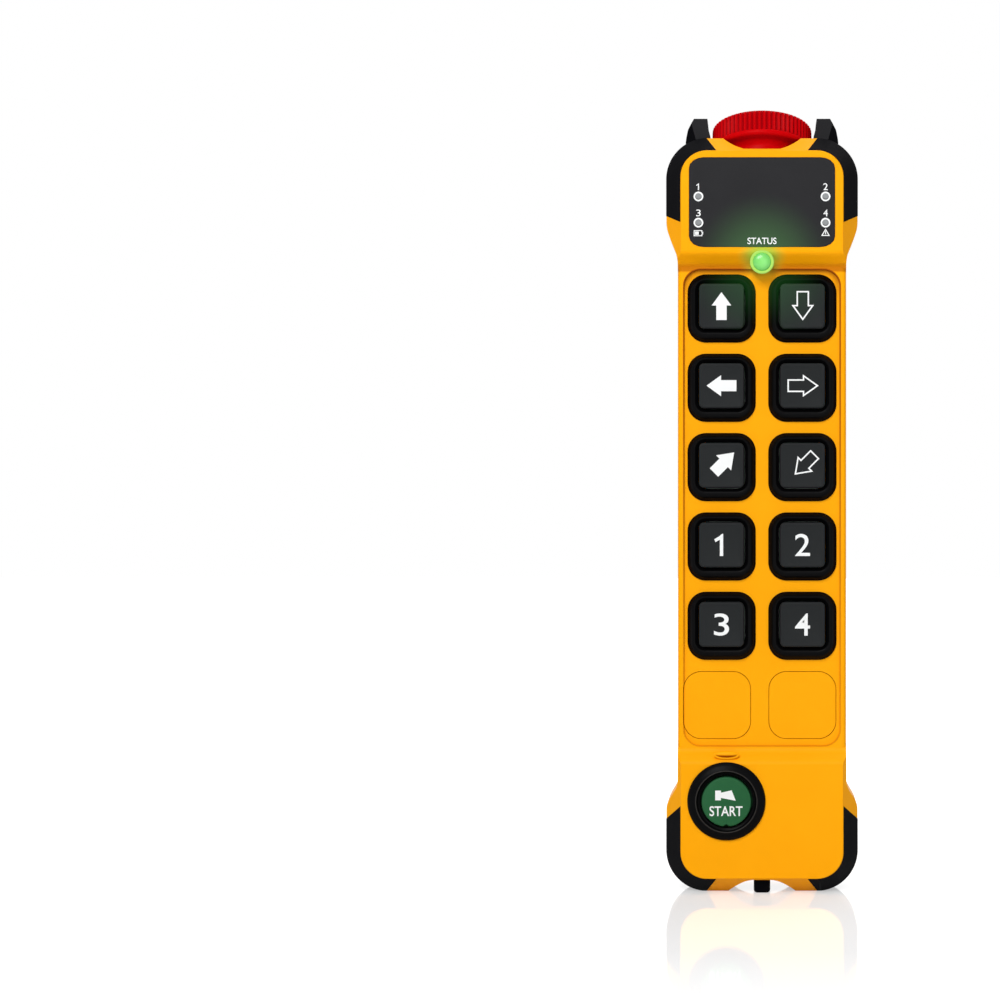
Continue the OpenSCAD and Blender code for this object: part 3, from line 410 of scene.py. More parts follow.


# Painted light from the lamp: green-yellow mixed into the yellow near it, and a little light given out by
# the yellow, the label, the collars and the caps.
paint_light_or_shade(yellow_plastic, lamp_mask(yellow_plastic, 3.6, 10), srgb(176, 190, 60))
glow(yellow_plastic, 3.4, 7, srgb(50, 120, 40), 0.5)
glow(label_film, 4, 25, srgb(50, 92, 44), 0.9)
glow(boot_rubber, 6, 24, srgb(14, 52, 16), 1.0)
glow(key_plastic, 6, 30, srgb(20, 58, 24), 1.0)
lens_green = finish("lens_green", srgb(112, 202, 98), srgb(92, 184, 84), 0.25, coat=0.3, bump=0.02,
                    mirror=0.3)
glow(lens_green, 0.2, 4.2, srgb(150, 230, 110), 0.3)
lens_rim = finish("lens_rim", srgb(170, 210, 96), srgb(160, 202, 90), 0.3, bump=0.02, mirror=0.1)
glow(lens_rim, 3.0, 5.0, srgb(120, 190, 90), 0.3)
print("lamp axis at z", round(lens_centre.z / MM, 1), "mm")

# %% [markdown]
# ## Turning a mesh into a piece
#
# Every piece ends the same way: doubles are merged, the faces are turned outwards, and
# the mesh is shaded smooth except where two faces meet at a clear angle. The object stays
# at the origin and rides on one body of the frame.

# %% Helpers for pieces
SAME_POINT = 1e-7
INK = 0.05


def make_piece(bm, name, material, body, stands_for=(), crease=38):
    """An object from a finished mesh; crease is the angle from which an edge stays sharp."""
    bmesh.ops.remove_doubles(bm, verts=bm.verts, dist=SAME_POINT)
    bmesh.ops.recalc_face_normals(bm, faces=bm.faces)
    mesh = bpy.data.meshes.new(name)
    bm.to_mesh(mesh)
    bm.free()
    mesh.materials.append(material)
    mesh.shade_smooth()
    mesh.set_sharp_from_angle(angle=math.radians(crease))
    piece = bpy.data.objects.new(name, mesh)
    bpy.context.scene.collection.objects.link(piece)
    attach(piece, body)
    if stands_for:
        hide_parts(*stands_for)
    return piece


def outline(bm, points):
    """One flat face from a few points in millimetres, facing +Z."""
    face = bm.faces.new([bm.verts.new((x * MM, y * MM, 0)) for x, y in points])
    face.normal_update()
    return face


def hollow(bm, face, width):
    """Leave only a band of a width in millimetres along the edge of a flat face."""
    bmesh.ops.inset_region(bm, faces=[face], thickness=width * MM, use_even_offset=True,
                           use_boundary=True)
    bmesh.ops.delete(bm, geom=[face], context="FACES_ONLY")


def ink_piece(bm, name, body, place):
    """Flat faces become a thin layer of ink, with the faces themselves as its underside."""
    made = bmesh.ops.extrude_face_region(bm, geom=bm.faces[:], use_keep_orig=True)
    top = [v for v in made["geom"] if isinstance(v, bmesh.types.BMVert)]
    bmesh.ops.translate(bm, vec=(0, 0, INK * MM), verts=top)
    bm.transform(place)
    make_piece(bm, name, legend_ink, body, crease=20)


def rounded_square(bm, width, radius, segments):
    """A flat face with round corners, facing +Z; sizes in millimetres."""
    grid = bmesh.ops.create_grid(bm, x_segments=1, y_segments=1, size=0.5)
    bmesh.ops.scale(bm, vec=(width * MM, width * MM, 1), verts=grid["verts"])
    bmesh.ops.bevel(bm, geom=grid["verts"], offset=radius * MM, offset_type="OFFSET",
                    segments=segments, profile=0.5, affect="VERTICES", material=-1)
    bm.faces.ensure_lookup_table()
    return bm.faces[0]


def step_up(bm, face, steps):
    """Grow a face in (inward, outward) steps of millimetres, each step a ring of faces."""
    for inward, outward in steps:
        if inward == 0:
            made = bmesh.ops.extrude_discrete_faces(bm, faces=[face])
            face = made["faces"][0]
            bmesh.ops.translate(bm, vec=(0, 0, outward * MM), verts=face.verts[:])
        else:
            bmesh.ops.inset_region(bm, faces=[face], thickness=inward * MM, depth=outward * MM,
                                   use_even_offset=True)
    return face


def turned(profile, steps=96):
    """Spin a profile of (radius, height) points in millimetres round the Z axis."""
    bm = bmesh.new()
    verts = [bm.verts.new((r * MM, 0, h * MM)) for r, h in profile]
    edges = [bm.edges.new(pair) for pair in zip(verts, verts[1:])]
    bmesh.ops.spin(bm, geom=verts + edges, cent=(0, 0, 0), axis=(0, 0, 1), dvec=(0, 0, 0),
                   angle=math.tau, steps=steps, use_merge=True, use_duplicate=False)
    bmesh.ops.remove_doubles(bm, verts=bm.verts, dist=SAME_POINT)
    return bm


print("piece helpers ready")

# %% [markdown]
# ## The case shells and the bumpers
#
# The shells and bumpers are machined shapes, and the CAD solids already have them right.
# What the solids lack is the tiny radius that a mould leaves on each edge and that catches
# the light. A copy of each mesh is merged, flat areas become single faces, and the crisp
# edges get a narrow bevel. Short edges are left out, so the bevel never folds over itself.
# Weighted normals keep the large faces flat beside their small bevels. The guard ears are
# part of the upper corners. Their front faces get a second, lighter grey material as a
# painted highlight, and the faces turned outwards stay black. The thin lip in front of the
# knob keeps sharp edges.

# %% Copies of solids with softened edges
SOLID_MERGE = 0.002
FLAT_WITHIN = 0.3
CRISP_FROM = 28
CRISP_TO = 130
SHORTEST = 0.6
LIP_HALF_W = 13.5
LIP_BACK = -11
LIP_LOW = 260.5
TURNED_OUT = 0.45
EAR_GAP = 0.05
ear_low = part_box("front_shell")[1][2] + EAR_GAP * MM


def on_lip(edge):
    """True on the thin yellow lip in front of the knob, which a bevel would flatten."""
    at = (edge.verts[0].co + edge.verts[1].co) / 2
    return abs(at.x) < LIP_HALF_W * MM and at.y < LIP_BACK * MM and at.z > LIP_LOW * MM


def softened(node, name, material, radius, body="case"):
    """A copy of a CAD solid that stands for it, with a bevel of a radius in millimetres."""
    bm = bmesh.new()
    bm.from_mesh(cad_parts[node].data)
    bmesh.ops.remove_doubles(bm, verts=bm.verts, dist=SOLID_MERGE * MM)
    bmesh.ops.dissolve_limit(bm, angle_limit=math.radians(FLAT_WITHIN), use_dissolve_boundaries=False,
                             verts=bm.verts[:], edges=bm.edges[:])
    crisp = [
        e for e in bm.edges
        if len(e.link_faces) == 2 and e.calc_length() > SHORTEST * MM
        and math.radians(CRISP_FROM) < e.calc_face_angle(0) < math.radians(CRISP_TO)
        and not on_lip(e)
    ]
    bmesh.ops.bevel(bm, geom=crisp, offset=radius * MM, offset_type="OFFSET", segments=2,
                    profile=0.5, affect="EDGES", clamp_overlap=True, material=-1)
    piece = make_piece(bm, name, material, body, [node], crease=32)
    shading = piece.modifiers.new("even_shading", "WEIGHTED_NORMAL")
    shading.keep_sharp = True
    return piece


softened("front_shell", "case_front", yellow_plastic, 0.3)
softened("rear_shell", "case_rear", plain_yellow, 0.3)
softened("battery_cover", "battery_door", plain_yellow, 0.3, body="battery_lid")
for column in ("left", "right"):
    softened("blank_plug_" + column, "blank_key_" + column, plain_yellow, 0.25)
    corner = softened("upper_bumper_" + column, "upper_corner_" + column, bumper_rubber, 0.3)
    # Painted highlight: front faces of the ear take the lighter grey rubber, faces turned outwards stay
    # black.
    corner.data.materials.append(lit_ear_rubber)
    for face in corner.data.polygons:
        on_ear = face.center.z > ear_low and abs(face.normal.x) <= TURNED_OUT
        face.material_index = int(on_ear)
    softened("lower_bumper_" + column, "lower_corner_" + column, bumper_rubber, 0.3)
softened("label_plate", "label_face", label_film, 0.12)
softened("lanyard_post", "lanyard_bar", bumper_rubber, 0.25)

# %% [markdown]
# ## The stop knob
#
# The mushroom head is a turned part with some sixty ribs round its edge. A profile is
# spun about the knob's axis with six steps to each rib, and then every point on the band
# is drawn in by a wave. The depth of the wave is also kept on the mesh, as a value that
# the finish reads to paint shade into the grooves, and the undercut below the band gets
# such a value too, as painted shade. The axis leans back, so the knob is tilted last.

# %% Stop knob
STOP_TILT = 18
STOP_ORIGIN = Vector((0, 1.0, 262.6))
KNOB_RIBS = 62
STEPS_PER_RIB = 6
RIB_DEEP = 0.6
RIB_FROM = 17.2
BAND_LOW = 1.1
BAND_HIGH = 8.3
BAND_R = 17.75
MARGIN = 0.01
UNDERCUT_LOW = -1.9
UNDERCUT_HIGH = -0.9
UNDERCUT_SHADE = 0.75
SKIRT_LOW = -5.5
SKIRT_IN = 12.0
HUB_R = 7.0
BORE_R = 4.58
crown = [(0, 9.75), (5, 9.72), (9, 9.62), (12.2, 9.4), (14.6, 9.05), (16.0, 8.75), (16.8, 8.5)]
ribbed_band = [(17.3, BAND_HIGH), (17.6, 8.05), (BAND_R, 7.7), (BAND_R, 6.2), (BAND_R, 4.2),
               (BAND_R, 2.4), (BAND_R, BAND_LOW)]
flare = [(17.5, 0.98), (17.8, 0.85), (17.9, 0.6), (17.9, -0.1), (17.8, -0.4), (17.5, -0.7),
         (16.8, -1.1), (15.8, -1.6), (14.8, -2.2), (14.1, -2.9), (13.85, -3.6), (13.8, -5.3),
         (13.6, SKIRT_LOW)]
underside = [(SKIRT_IN, SKIRT_LOW), (SKIRT_IN, 2.0), (HUB_R, 2.0), (HUB_R, SKIRT_LOW),
             (BORE_R, SKIRT_LOW), (BORE_R, 5.08), (0, 5.08)]

bm = turned(crown + ribbed_band + flare + underside, steps=STEPS_PER_RIB * KNOB_RIBS)
# The value kept on each point is painted shade: the depth of a groove, or a fixed amount in the undercut.
groove_shade = bm.verts.layers.float.new("groove_shade")
for vert in bm.verts:
    reach = Vector((vert.co.x, vert.co.y)).length
    up = vert.co.z / MM
    if UNDERCUT_LOW < up < UNDERCUT_HIGH:
        vert[groove_shade] = UNDERCUT_SHADE
    if BAND_LOW - MARGIN < up < BAND_HIGH + MARGIN and reach > RIB_FROM * MM:
        wave = (1 - math.cos(KNOB_RIBS * math.atan2(vert.co.y, vert.co.x))) / 2
        shrink = 1 - RIB_DEEP * MM * wave / reach
        vert.co.x *= shrink
        vert.co.y *= shrink
        vert[groove_shade] = wave
bm.transform(Matrix.Translation(STOP_ORIGIN * MM) @ Matrix.Rotation(math.radians(-STOP_TILT), 4, "X"))
make_piece(bm, "mushroom_head", knob_plastic, "stop_head", ["stop_knob"], crease=40)
groove_shade_value = knob_plastic.node_tree.nodes.new("ShaderNodeAttribute")
groove_shade_value.attribute_name = "groove_shade"
# Painted shade: a deeper red mixed in where the grooves and the undercut lie.
paint_light_or_shade(knob_plastic, groove_shade_value.outputs["Fac"], srgb(146, 0, 8))
print("ribs:", KNOB_RIBS)

# %% [markdown]
# ## Boots and key caps
#
# Each key is a hard cap inside a rubber collar. The collar starts as a square face with
# round corners that is stepped up and in, over a crest and down again. The hole sits a
# little above the collar's middle, and its last face is opened for the cap. The cap is
# stepped the same way, up to a narrow bevel and a shallow rim.

# %% Key collars and caps
BOOT_W = 23.7
BOOT_R = 6.3
HOLE_W = 16.6
HOLE_DEEP = 4.5
CAP_W = 15.8
CAP_R = 1.7
CAP_RISE = 0.6
CAP_HIGH = 4.0
CAP_DISH = 0.1
CAP_RIM = 0.3
CAP_FOOT = 1.4
PANEL_T = 2.8
RECESS = -key_front / MM - CAP_HIGH
BOOT_LOW = RECESS - PANEL_T
CAP_BASE = BOOT_LOW - CAP_FOOT
KEYS = ["up", "down", "left", "right", "forward", "reverse", "1", "2", "3", "4"]
collar_rise = [(0, PANEL_T + 0.05), (-0.18, 0.02), (0, 0.2), (0.3, 0.2), (0.5, 1.0), (0.7, 0.83),
               (0.5, 0.36), (0.3, 0.1)]
collar_fall = [(0.25, -0.02), (0.3, -0.2), (0.35, -0.7)]
cap_bevel = [(0.12, 0.22), (0.2, 0.18), (0.25, 0.05)]
bevel_high = sum(outward for _, outward in cap_bevel)


def key_collar(key):
    centre = middle("button_" + key)
    bm = bmesh.new()
    face = rounded_square(bm, BOOT_W, BOOT_R, segments=12)
    face = step_up(bm, face, collar_rise)
    bmesh.ops.translate(bm, vec=(0, CAP_RISE * MM, 0), verts=face.verts[:])
    face = step_up(bm, face, collar_fall)
    across = [v.co.x for v in face.verts]
    spread = HOLE_W * MM / (max(across) - min(across))
    for vert in face.verts:
        vert.co.x *= spread
        vert.co.y = (vert.co.y - CAP_RISE * MM) * spread + CAP_RISE * MM
    face = step_up(bm, face, [(0, -HOLE_DEEP)])
    bmesh.ops.delete(bm, geom=[face], context="FACES_ONLY")
    bmesh.ops.bridge_loops(bm, edges=[e for e in bm.edges if e.is_boundary])
    bm.transform(on_front(centre.x, -BOOT_LOW * MM, centre.z - CAP_RISE * MM))
    make_piece(bm, "collar_" + key, boot_rubber, "case", ["boot_" + key], crease=50)


def key_cap(key):
    """The cap of a key; a copy of its first face stays behind and closes the underside."""
    centre = middle("button_" + key)
    bm = bmesh.new()
    face = rounded_square(bm, CAP_W, CAP_R, segments=5)
    face.copy()
    wall = -key_front / MM - CAP_BASE - bevel_high
    step_up(bm, face, [(0, wall)] + cap_bevel + [(CAP_RIM, 0), (CAP_RIM, -CAP_DISH)])
    bm.transform(on_front(centre.x, -CAP_BASE * MM, centre.z))
    make_piece(bm, "cap_" + key, key_plastic, "key_" + key, ["button_" + key], crease=30)


for key in KEYS:
    key_collar(key)
    key_cap(key)
print("keys:", len(KEYS))

# %% [markdown]
# ## Arrows on the keys
#
# The first three rows carry arrows, one full and one drawn as an outline in each pair.
# An arrow is seven points. The outline arrow is the same face with a narrow inset whose
# middle is taken out. Each is a thin layer of ink that rides with its key. The table gives
# the turn in degrees, whether it is hollow, its sizes and its place on the key.

# %% Arrow legends
ARROW_LINE = 0.5
ARROWS = {
    "up": (0, False, (9.8, 6.9, 4.7, 3.65), (0, 0)),
    "down": (180, True, (10.4, 7.9, 5.5, 4.4), (0.1, 0.1)),
    "left": (90, False, (10.5, 7.4, 5.1, 3.9), (0, 0)),
    "right": (-90, True, (11.0, 7.9, 5.6, 4.5), (0.2, 0)),
    "forward": (-45, False, (10.0, 7.5, 5.2, 4.2), (0.9, 1.0)),
    "reverse": (135, True, (10.2, 7.7, 5.4, 4.4), (0.8, 0.3)),
}
key_face = key_front + CAP_DISH * MM


def arrow_points(length, head_w, head_l, shaft_w):
    tip = length / 2
    neck = tip - head_l
    return [(-shaft_w / 2, -tip), (shaft_w / 2, -tip), (shaft_w / 2, neck), (head_w / 2, neck),
            (0, tip), (-head_w / 2, neck), (-shaft_w / 2, neck)]


for key, (turn, is_hollow, arrow, (right, up)) in ARROWS.items():
    bm = bmesh.new()
    face = outline(bm, arrow_points(*arrow))
    if is_hollow:
        hollow(bm, face, ARROW_LINE)
    bm.transform(Matrix.Rotation(math.radians(turn), 4, "Z"))
    centre = middle("button_" + key)
    place = on_front(centre.x + right * MM, key_face, centre.z + up * MM)
    ink_piece(bm, "arrow_" + key, "key_" + key, place)
print("arrows:", len(ARROWS))

# %% [markdown]
# ## Figures and words
#
# The figures and the small words are plain type. A text object is turned into a mesh
# first, then stretched to the size it has on the remote, and only then placed, so that
# nothing depends on the font's own spacing. The 1 has a slanting flag that the type lacks,
# so it is drawn as an outline.

# %% Type
TYPE_MERGE = 0.012
TYPE_DEEP = 0.02
FIGURE_WEIGHT = 0.004
WORD_WEIGHT = 0.012
FIGURE_SIZE = (5.3, 7.8)
ONE = [(-0.57, -3.9), (0.6, -3.9), (0.6, 3.9), (0.2, 3.9), (-0.75, 3.05), (-2.55, 2.0), (-2.1, 0.98),
       (-0.57, 1.85)]


def lettering(text, name, size, place, body, weight):
    """Plain type as a thin layer of ink; size is its width and height in millimetres."""
    curve = bpy.data.curves.new(name + "_type", "FONT")
    curve.body = text
    curve.offset = weight
    curve.extrude = TYPE_DEEP
    holder = bpy.data.objects.new(name + "_type", curve)
    bpy.context.scene.collection.objects.link(holder)
    bpy.context.view_layer.update()
    mesh = bpy.data.meshes.new_from_object(holder.evaluated_get(bpy.context.evaluated_depsgraph_get()))
    bm = bmesh.new()
    bm.from_mesh(mesh)
    bpy.data.objects.remove(holder)
    bpy.data.curves.remove(curve)
    bpy.data.meshes.remove(mesh)
    low = Vector([min(v.co[i] for v in bm.verts) for i in range(3)])
    high = Vector([max(v.co[i] for v in bm.verts) for i in range(3)])
    wide = size[0] * MM / (high.x - low.x)
    tall = size[1] * MM / (high.y - low.y)
    bmesh.ops.translate(bm, vec=-(low + high) / 2, verts=bm.verts)
    bmesh.ops.scale(bm, vec=(wide, tall, INK * MM / (high.z - low.z)), verts=bm.verts)
    bmesh.ops.remove_doubles(bm, verts=bm.verts, dist=TYPE_MERGE * MM)
    bmesh.ops.translate(bm, vec=(0, 0, INK * MM / 2), verts=bm.verts)
    bm.transform(place)
    make_piece(bm, name, legend_ink, body, crease=20)


def figure(number, name, size, place, body):
    """One figure; size is its width and height in millimetres, and a 1 keeps its own width."""
    if number == "1":
        bm = bmesh.new()
        outline(bm, ONE)
        shrink = size[1] / (ONE[2][1] - ONE[0][1])
        bmesh.ops.scale(bm, vec=(shrink, shrink, 1), verts=bm.verts)
        ink_piece(bm, name, body, place)
    else:
        lettering(number, name, size, place, body, FIGURE_WEIGHT)


FIGURE_KEYS = KEYS[len(ARROWS):]
for key in FIGURE_KEYS:
    centre = middle("button_" + key)
    figure(key, "figure_" + key, FIGURE_SIZE, on_front(centre.x, key_face, centre.z), "key_" + key)
print("figures:", FIGURE_KEYS)

# %% [markdown]
# ## The label
#
# The label is a dark film with a fine grain. Printed on it are a ring and a number at each
# of four small lamps, a battery sign, a warning triangle and the word for the status lamp.
# The maker's panel is left bare. Rings are spun, and the signs are thin inset faces.

# %% Label print
WINDOW_X = 22.3
WINDOW_Z = (244.8, 235.6)
RING_OUT = 1.7
RING_IN = 1.15
NUMBER_UP = 3.4
NUMBER_SIZE = (1.6, 2.4)
STATUS_SIZE = (10.2, 2.3)
STATUS_Z = 229.2


def on_label(x, z):
    return on_front(x * MM, label_front, z * MM)


ring_profile = [(RING_IN, 0), (RING_OUT, 0), (RING_OUT, INK), (RING_IN, INK), (RING_IN, 0)]
for row, z in enumerate(WINDOW_Z):
    for column, x in enumerate((-WINDOW_X, WINDOW_X)):
        number = str(2 * row + column + 1)
        bm = turned(ring_profile, steps=32)
        bm.transform(on_label(x, z))
        make_piece(bm, "lamp_ring_" + number, legend_ink, "case")
        figure(number, "lamp_number_" + number, NUMBER_SIZE, on_label(x, z + NUMBER_UP), "case")
lettering("STATUS", "status_word", STATUS_SIZE, on_label(0, STATUS_Z), "case", WORD_WEIGHT)
print("lamp rings:", 2 * len(WINDOW_Z))

# %% Battery sign and triangle
BATTERY_Z = 231.9
BATTERY_LINE = 0.28
TRIANGLE_Z = 232.25
TRIANGLE_LINE = 0.32

bm = bmesh.new()
cell = outline(bm, [(-1.65, -1.05), (1.35, -1.05), (1.35, -0.45), (1.65, -0.45), (1.65, 0.45),
                    (1.35, 0.45), (1.35, 1.05), (-1.65, 1.05)])
hollow(bm, cell, BATTERY_LINE)
outline(bm, [(-1.2, -0.6), (0.1, -0.6), (0.1, 0.6), (-1.2, 0.6)])
ink_piece(bm, "battery_sign", "case", on_label(-WINDOW_X, BATTERY_Z))

bm = bmesh.new()
triangle = outline(bm, [(-1.55, -1.3), (1.55, -1.3), (0, 1.3)])
hollow(bm, triangle, TRIANGLE_LINE)
outline(bm, [(-0.16, -0.7), (0.16, -0.7), (0.16, 0.35), (-0.16, 0.35)])
ink_piece(bm, "triangle_sign", "case", on_label(WINDOW_X, TRIANGLE_Z))
print("signs: battery and triangle")

# %% [markdown]
# ## The raised oval
#
# A small oval nub above the START key lets a thumb find it. It is a squashed sphere sunk
# halfway into the slope, and its finish is darker on the underside, where it lies in shade.

# %% Raised oval
NUB = Vector((-12.5, -16.9, 48.95))
NUB_HALF = (4.4, 1.6, 1.25)
NUB_BRIGHT = NUB.z + 0.1
NUB_DARK = NUB.z - 0.7
nub_yellow = finish("nub_yellow", srgb(255, 176, 14), srgb(250, 166, 6), 0.42, mirror=0.05)
nub_tree = nub_yellow.node_tree
low = fade(nub_tree, split_place(nub_tree)["Z"], NUB_BRIGHT * MM, NUB_DARK * MM)
paint_light_or_shade(nub_yellow, low, srgb(172, 72, 0))
bm = bmesh.new()
bmesh.ops.create_uvsphere(bm, u_segments=40, v_segments=20, radius=MM)
bmesh.ops.scale(bm, vec=NUB_HALF, verts=bm.verts)
bmesh.ops.translate(bm, vec=NUB * MM, verts=bm.verts)
make_piece(bm, "oval_nub", nub_yellow, "case", crease=60)
print("oval nub at height", round(NUB.z, 2), "mm")

# %% [markdown]
# ## The status lamp
#
# The lamp is a small dome in a raised ring. Both are one short profile spun about the
# lamp's axis, with the flange that holds it from behind, and it replaces the CAD cone. The
# ring has a paler finish than the dome.

# %% Status lamp
DOME_R = 3.3
RIM_BACK = 0.45
lens_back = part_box("status_lens")[1][1]
lens_long = (lens_back - lens_front) / MM
rim = lens_long - RIM_BACK
flange = [(0, 0), (4.4, 0), (4.4, 1.0), (3.45, 1.05), (3.45, rim - 0.75)]
rim_and_dome = [(4.2, -0.7), (4.25, -0.2), (4.1, 0), (3.8, 0.06), (3.45, 0), (3.2, -0.15), (3.05, 0.25),
                (2.75, 0.55), (2.2, 0.8), (1.4, 0.97), (0.7, 1.03), (0, 1.05)]
bm = turned(flange + [(r, rim + up) for r, up in rim_and_dome], steps=64)
bm.transform(on_front(0, lens_back, lens_centre.z))
lamp = make_piece(bm, "status_dome", lens_green, "case", ["status_lens"], crease=50)
lamp.data.materials.append(lens_rim)
for face in lamp.data.polygons:
    reach = math.hypot(face.center.x, face.center.z - lens_centre.z)
    face.material_index = int(reach > DOME_R * MM)
print("lamp dome", round(lens_long, 2), "mm long")

# %% [markdown]
# ## The START key
#
# The START key is a green button in a fat rubber ring. Both are turned parts. The ring
# swells from the case to a rounded crest with a fine ridge, which a paler rubber marks as a
# painted highlight, and falls to a lip round the button. The button has a small cusp cut
# into its lower edge, a horn sign and its word.

# %% START ring
CREST_HIGH = 2.4
RING_HOLE_R = 9.2
RIDGE_IN = 10.55
RIDGE_OUT = 10.95
RIDGE_LOW = 2.1
start_centre = middle("start_bezel")
bezel_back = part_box("start_bezel")[1][1]
bezel_long = (bezel_back - front_of("start_bezel")) / MM
face_at = bezel_long - CREST_HIGH
ring_foot = [(RING_HOLE_R, 0), (11.9, 0), (11.9, 1.0), (10.9, 1.05), (10.9, face_at)]
ring_crest = [(13.72, 0), (13.75, 0.35), (13.6, 0.75), (13.2, 1.15), (12.5, 1.6), (11.7, 1.95),
              (11.1, RIDGE_LOW), (RIDGE_OUT, 2.25), (10.85, 2.38), (10.68, 2.38), (RIDGE_IN, 2.2),
              (10.45, 1.6), (10.1, 1.3), (9.6, 1.15), (9.3, 1.05), (RING_HOLE_R, 0.7)]
bm = turned(ring_foot + [(r, face_at + up) for r, up in ring_crest] + [ring_foot[0]])
bm.transform(on_front(start_centre.x, bezel_back, start_centre.z))
# Painted highlight: the fine ridge of the crest gets a paler grey rubber.
ridge_highlight_rubber = finish("ridge_highlight_rubber", srgb(48, 46, 44), srgb(38, 36, 35), 0.4, bump=0.1, mirror=0.1)
bezel = make_piece(bm, "start_ring", boot_rubber, "case", ["start_bezel"], crease=55)
bezel.data.materials.append(ridge_highlight_rubber)
for face in bezel.data.polygons:
    reach = math.hypot(face.center.x - start_centre.x, face.center.z - start_centre.z) / MM
    on_ridge = RIDGE_IN < reach < RIDGE_OUT and face.center.y < bezel_back - (face_at + RIDGE_LOW) * MM
    face.material_index = int(on_ridge)
print("START ring", round(bezel_long, 2), "mm deep")

# %% START button
CAP_RADIUS = 8.65
HEAD_LONG = 7.9
FLANGE_R = 10.4
FLANGE_T = 1.4
SHAFT_R = 3.4
CUSP_R = 1.125
CUSP_PUSH = 0.75
cap_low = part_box("start_cap")[1][1]
cap_long = (cap_low - front_of("start_cap")) / MM
shaft = cap_long - HEAD_LONG
head_foot = shaft + FLANGE_T
cap_foot = [(0, 0), (SHAFT_R, 0), (SHAFT_R, shaft), (FLANGE_R, shaft), (FLANGE_R, head_foot),
            (CAP_RADIUS, head_foot)]
cap_head = [(CAP_RADIUS, -0.45), (8.52, -0.16), (8.25, -0.03), (7.9, 0), (0, 0)]
bm = turned(cap_foot + [(r, cap_long + up) for r, up in cap_head])
for vert in bm.verts:
    reach = math.hypot(vert.co.x, vert.co.y + CAP_RADIUS * MM)
    if reach < CUSP_R * MM and vert.co.z > (head_foot + MARGIN) * MM:
        vert.co.y += (CUSP_R * MM - reach) * CUSP_PUSH
bm.transform(on_front(start_centre.x, cap_low, start_centre.z))
make_piece(bm, "start_button_cap", start_plastic, "start_button", ["start_cap"], crease=40)
print("START key at x", round(start_centre.x / MM, 1), "z", round(start_centre.z / MM, 1))

# %% Horn sign and START word
START_SIZE = (11.6, 3.5)
START_AT = (-0.1, -3.2)
HORN = [(-3.9, 0.6), (-1.9, 0.6), (-1.9, 1.45), (3.3, 0.45), (1.85, 4.1), (-1.9, 3.25), (-1.9, 4.0),
        (-3.9, 4.0)]
start_front = front_of("start_cap")


def on_start(x, z):
    return on_front(start_centre.x + x * MM, start_front, start_centre.z + z * MM)


bm = bmesh.new()
outline(bm, HORN)
ink_piece(bm, "horn_sign", "start_button", on_start(0, 0))
lettering("START", "start_word", START_SIZE, on_start(*START_AT), "start_button", WORD_WEIGHT)
print("start legends: a horn and a word")

# %% [markdown]
# ## Small solids that stay as they are
#
# Screws, lamps, boards and the parts inside are already the right shape in CAD. They only
# need a finish, and one table gives each of them its own.

# %% Finishes for the solids that stay
STAYING_CREASE = 30
STAYING = {
    "case_gasket": boot_rubber, "case_screws": screw_steel, "board_screws": screw_steel,
    "cover_screws": screw_steel, "cover_seal": boot_rubber, "status_led": lens_green,
    "indicator_lenses": lamp_grey, "indicator_board_left": board_green,
    "indicator_board_right": board_green, "main_board": board_green, "key_frame": inner_black,
    "key_switches": inner_black, "start_switch": inner_black, "radio_module": screw_steel,
    "antenna": inner_black, "battery_pack": pack_shrink, "battery_contacts": contact_brass,
    "stop_collar": inner_black, "stop_seal": boot_rubber, "stop_nut": screw_steel,
    "stop_stem": screw_steel, "stop_contact_block": inner_black,
}
for node, material in STAYING.items():
    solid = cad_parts[node]
    solid.data.materials.clear()
    solid.data.materials.append(material)
    solid.data.shade_smooth()
    solid.data.set_sharp_from_angle(angle=math.radians(STAYING_CREASE))
print("solids kept:", len(STAYING))

# %% [markdown]
# ## Floor, background and light
#
# The picture is cut out on white, with a faded reflection under the foot. A pale, slightly
# glossy floor gives that reflection. The world is a soft grey light, but white to the
# camera and to reflections, so the background stays clean without more light on the case.

# %% World
WORLD_LIGHT = 0.27
WHITE = (1, 1, 1, 1)


def seen_directly(tree):
    """1 for camera, glossy and transmission rays, 0 for the light that falls on things."""
    path = tree.nodes.new("ShaderNodeLightPath")
    seen = path.outputs["Is Camera Ray"]
    for ray in ("Is Glossy Ray", "Is Transmission Ray"):
        seen = calc(tree, "MAXIMUM", seen, path.outputs[ray])
    return seen


world = bpy.data.worlds.new("world")
world.use_nodes = True
bpy.context.scene.world = world
tree = world.node_tree
soft = tree.nodes["Background"]
soft.inputs["Color"].default_value = WHITE
soft.inputs["Strength"].default_value = WORLD_LIGHT
plain_white = tree.nodes.new("ShaderNodeBackground")
plain_white.inputs["Color"].default_value = WHITE
choose = tree.nodes.new("ShaderNodeMixShader")
tree.links.new(seen_directly(tree), choose.inputs["Fac"])
tree.links.new(soft.outputs[0], choose.inputs[1])
tree.links.new(plain_white.outputs[0], choose.inputs[2])
tree.links.new(choose.outputs[0], tree.nodes["World Output"].inputs["Surface"])
print("world light:", WORLD_LIGHT)

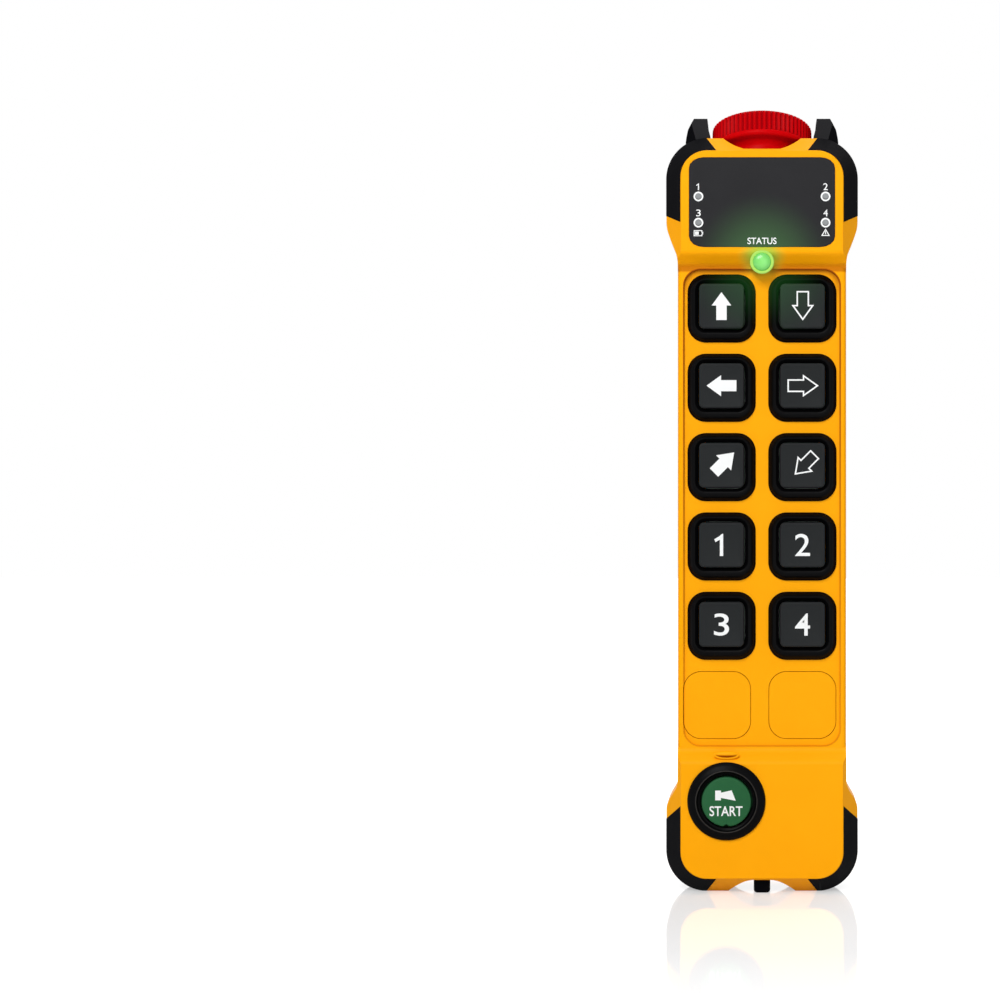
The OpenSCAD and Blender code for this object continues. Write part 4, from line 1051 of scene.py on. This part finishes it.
# %% Floor
FLOOR_HALF = 4.0
FLOOR_NEAR = 0.15
FLOOR_FAR = 0.7
FLOOR_LIFT = 0.42
FLOOR_TONE = (0.8, 0.8, 0.8, 1)
FLOOR_ROUGH = 0.05
FLOOR_MIRROR = 0.33
bm = bmesh.new()
bmesh.ops.create_grid(bm, x_segments=1, y_segments=1, size=FLOOR_HALF)
floor_mesh = bpy.data.meshes.new("floor")
bm.to_mesh(floor_mesh)
bm.free()
floor = bpy.data.objects.new("floor", floor_mesh)
bpy.context.scene.collection.objects.link(floor)
floor_material = bpy.data.materials.new("pale_floor")
floor_material.use_nodes = True
tree = floor_material.node_tree
surface = tree.nodes["Principled BSDF"]
surface.inputs["Base Color"].default_value = FLOOR_TONE
surface.inputs["Roughness"].default_value = FLOOR_ROUGH
surface.inputs["Specular IOR Level"].default_value = FLOOR_MIRROR
surface.inputs["Emission Color"].default_value = WHITE
away = tree.nodes.new("ShaderNodeVectorMath")
away.operation = "LENGTH"
tree.links.new(place_on_piece(tree), away.inputs[0])
lift = tree.nodes.new("ShaderNodeMapRange")
lift.inputs["From Min"].default_value = FLOOR_NEAR
lift.inputs["From Max"].default_value = FLOOR_FAR
lift.inputs["To Min"].default_value = FLOOR_LIFT
lift.inputs["To Max"].default_value = 1.0
tree.links.new(away.outputs["Value"], lift.inputs["Value"])
shown = calc(tree, "MULTIPLY", lift.outputs["Result"], seen_directly(tree))
tree.links.new(shown, surface.inputs["Emission Strength"])
floor_mesh.materials.append(floor_material)
print("floor ready")

# %% Lamps
AIM = Vector((0, 0, 0.14))


def soft_lamp(name, location, size, watts):
    lamp_data = bpy.data.lights.new(name, "AREA")
    lamp_data.size = size
    lamp_data.energy = watts
    lamp = bpy.data.objects.new(name, lamp_data)
    lamp.location = location
    lamp.rotation_euler = (AIM - Vector(location)).to_track_quat("-Z", "Y").to_euler()
    bpy.context.scene.collection.objects.link(lamp)


soft_lamp("key_lamp", (-0.3, -1.05, 0.9), size=0.6, watts=11.5)
soft_lamp("front_lamp", (0.3, -1.5, 0.3), size=0.8, watts=3.2)
soft_lamp("top_lamp", (0.1, 0.1, 1.3), size=0.8, watts=4.0)
soft_lamp("back_lamp", (0.4, 1.2, 0.8), size=0.8, watts=5.0)
print("lamps:", len(bpy.data.lights))

# %% [markdown]
# ## Close the scene
#
# The view keeps plain colours.

# %% Colour view
bpy.context.scene.view_settings.view_transform = "Standard"
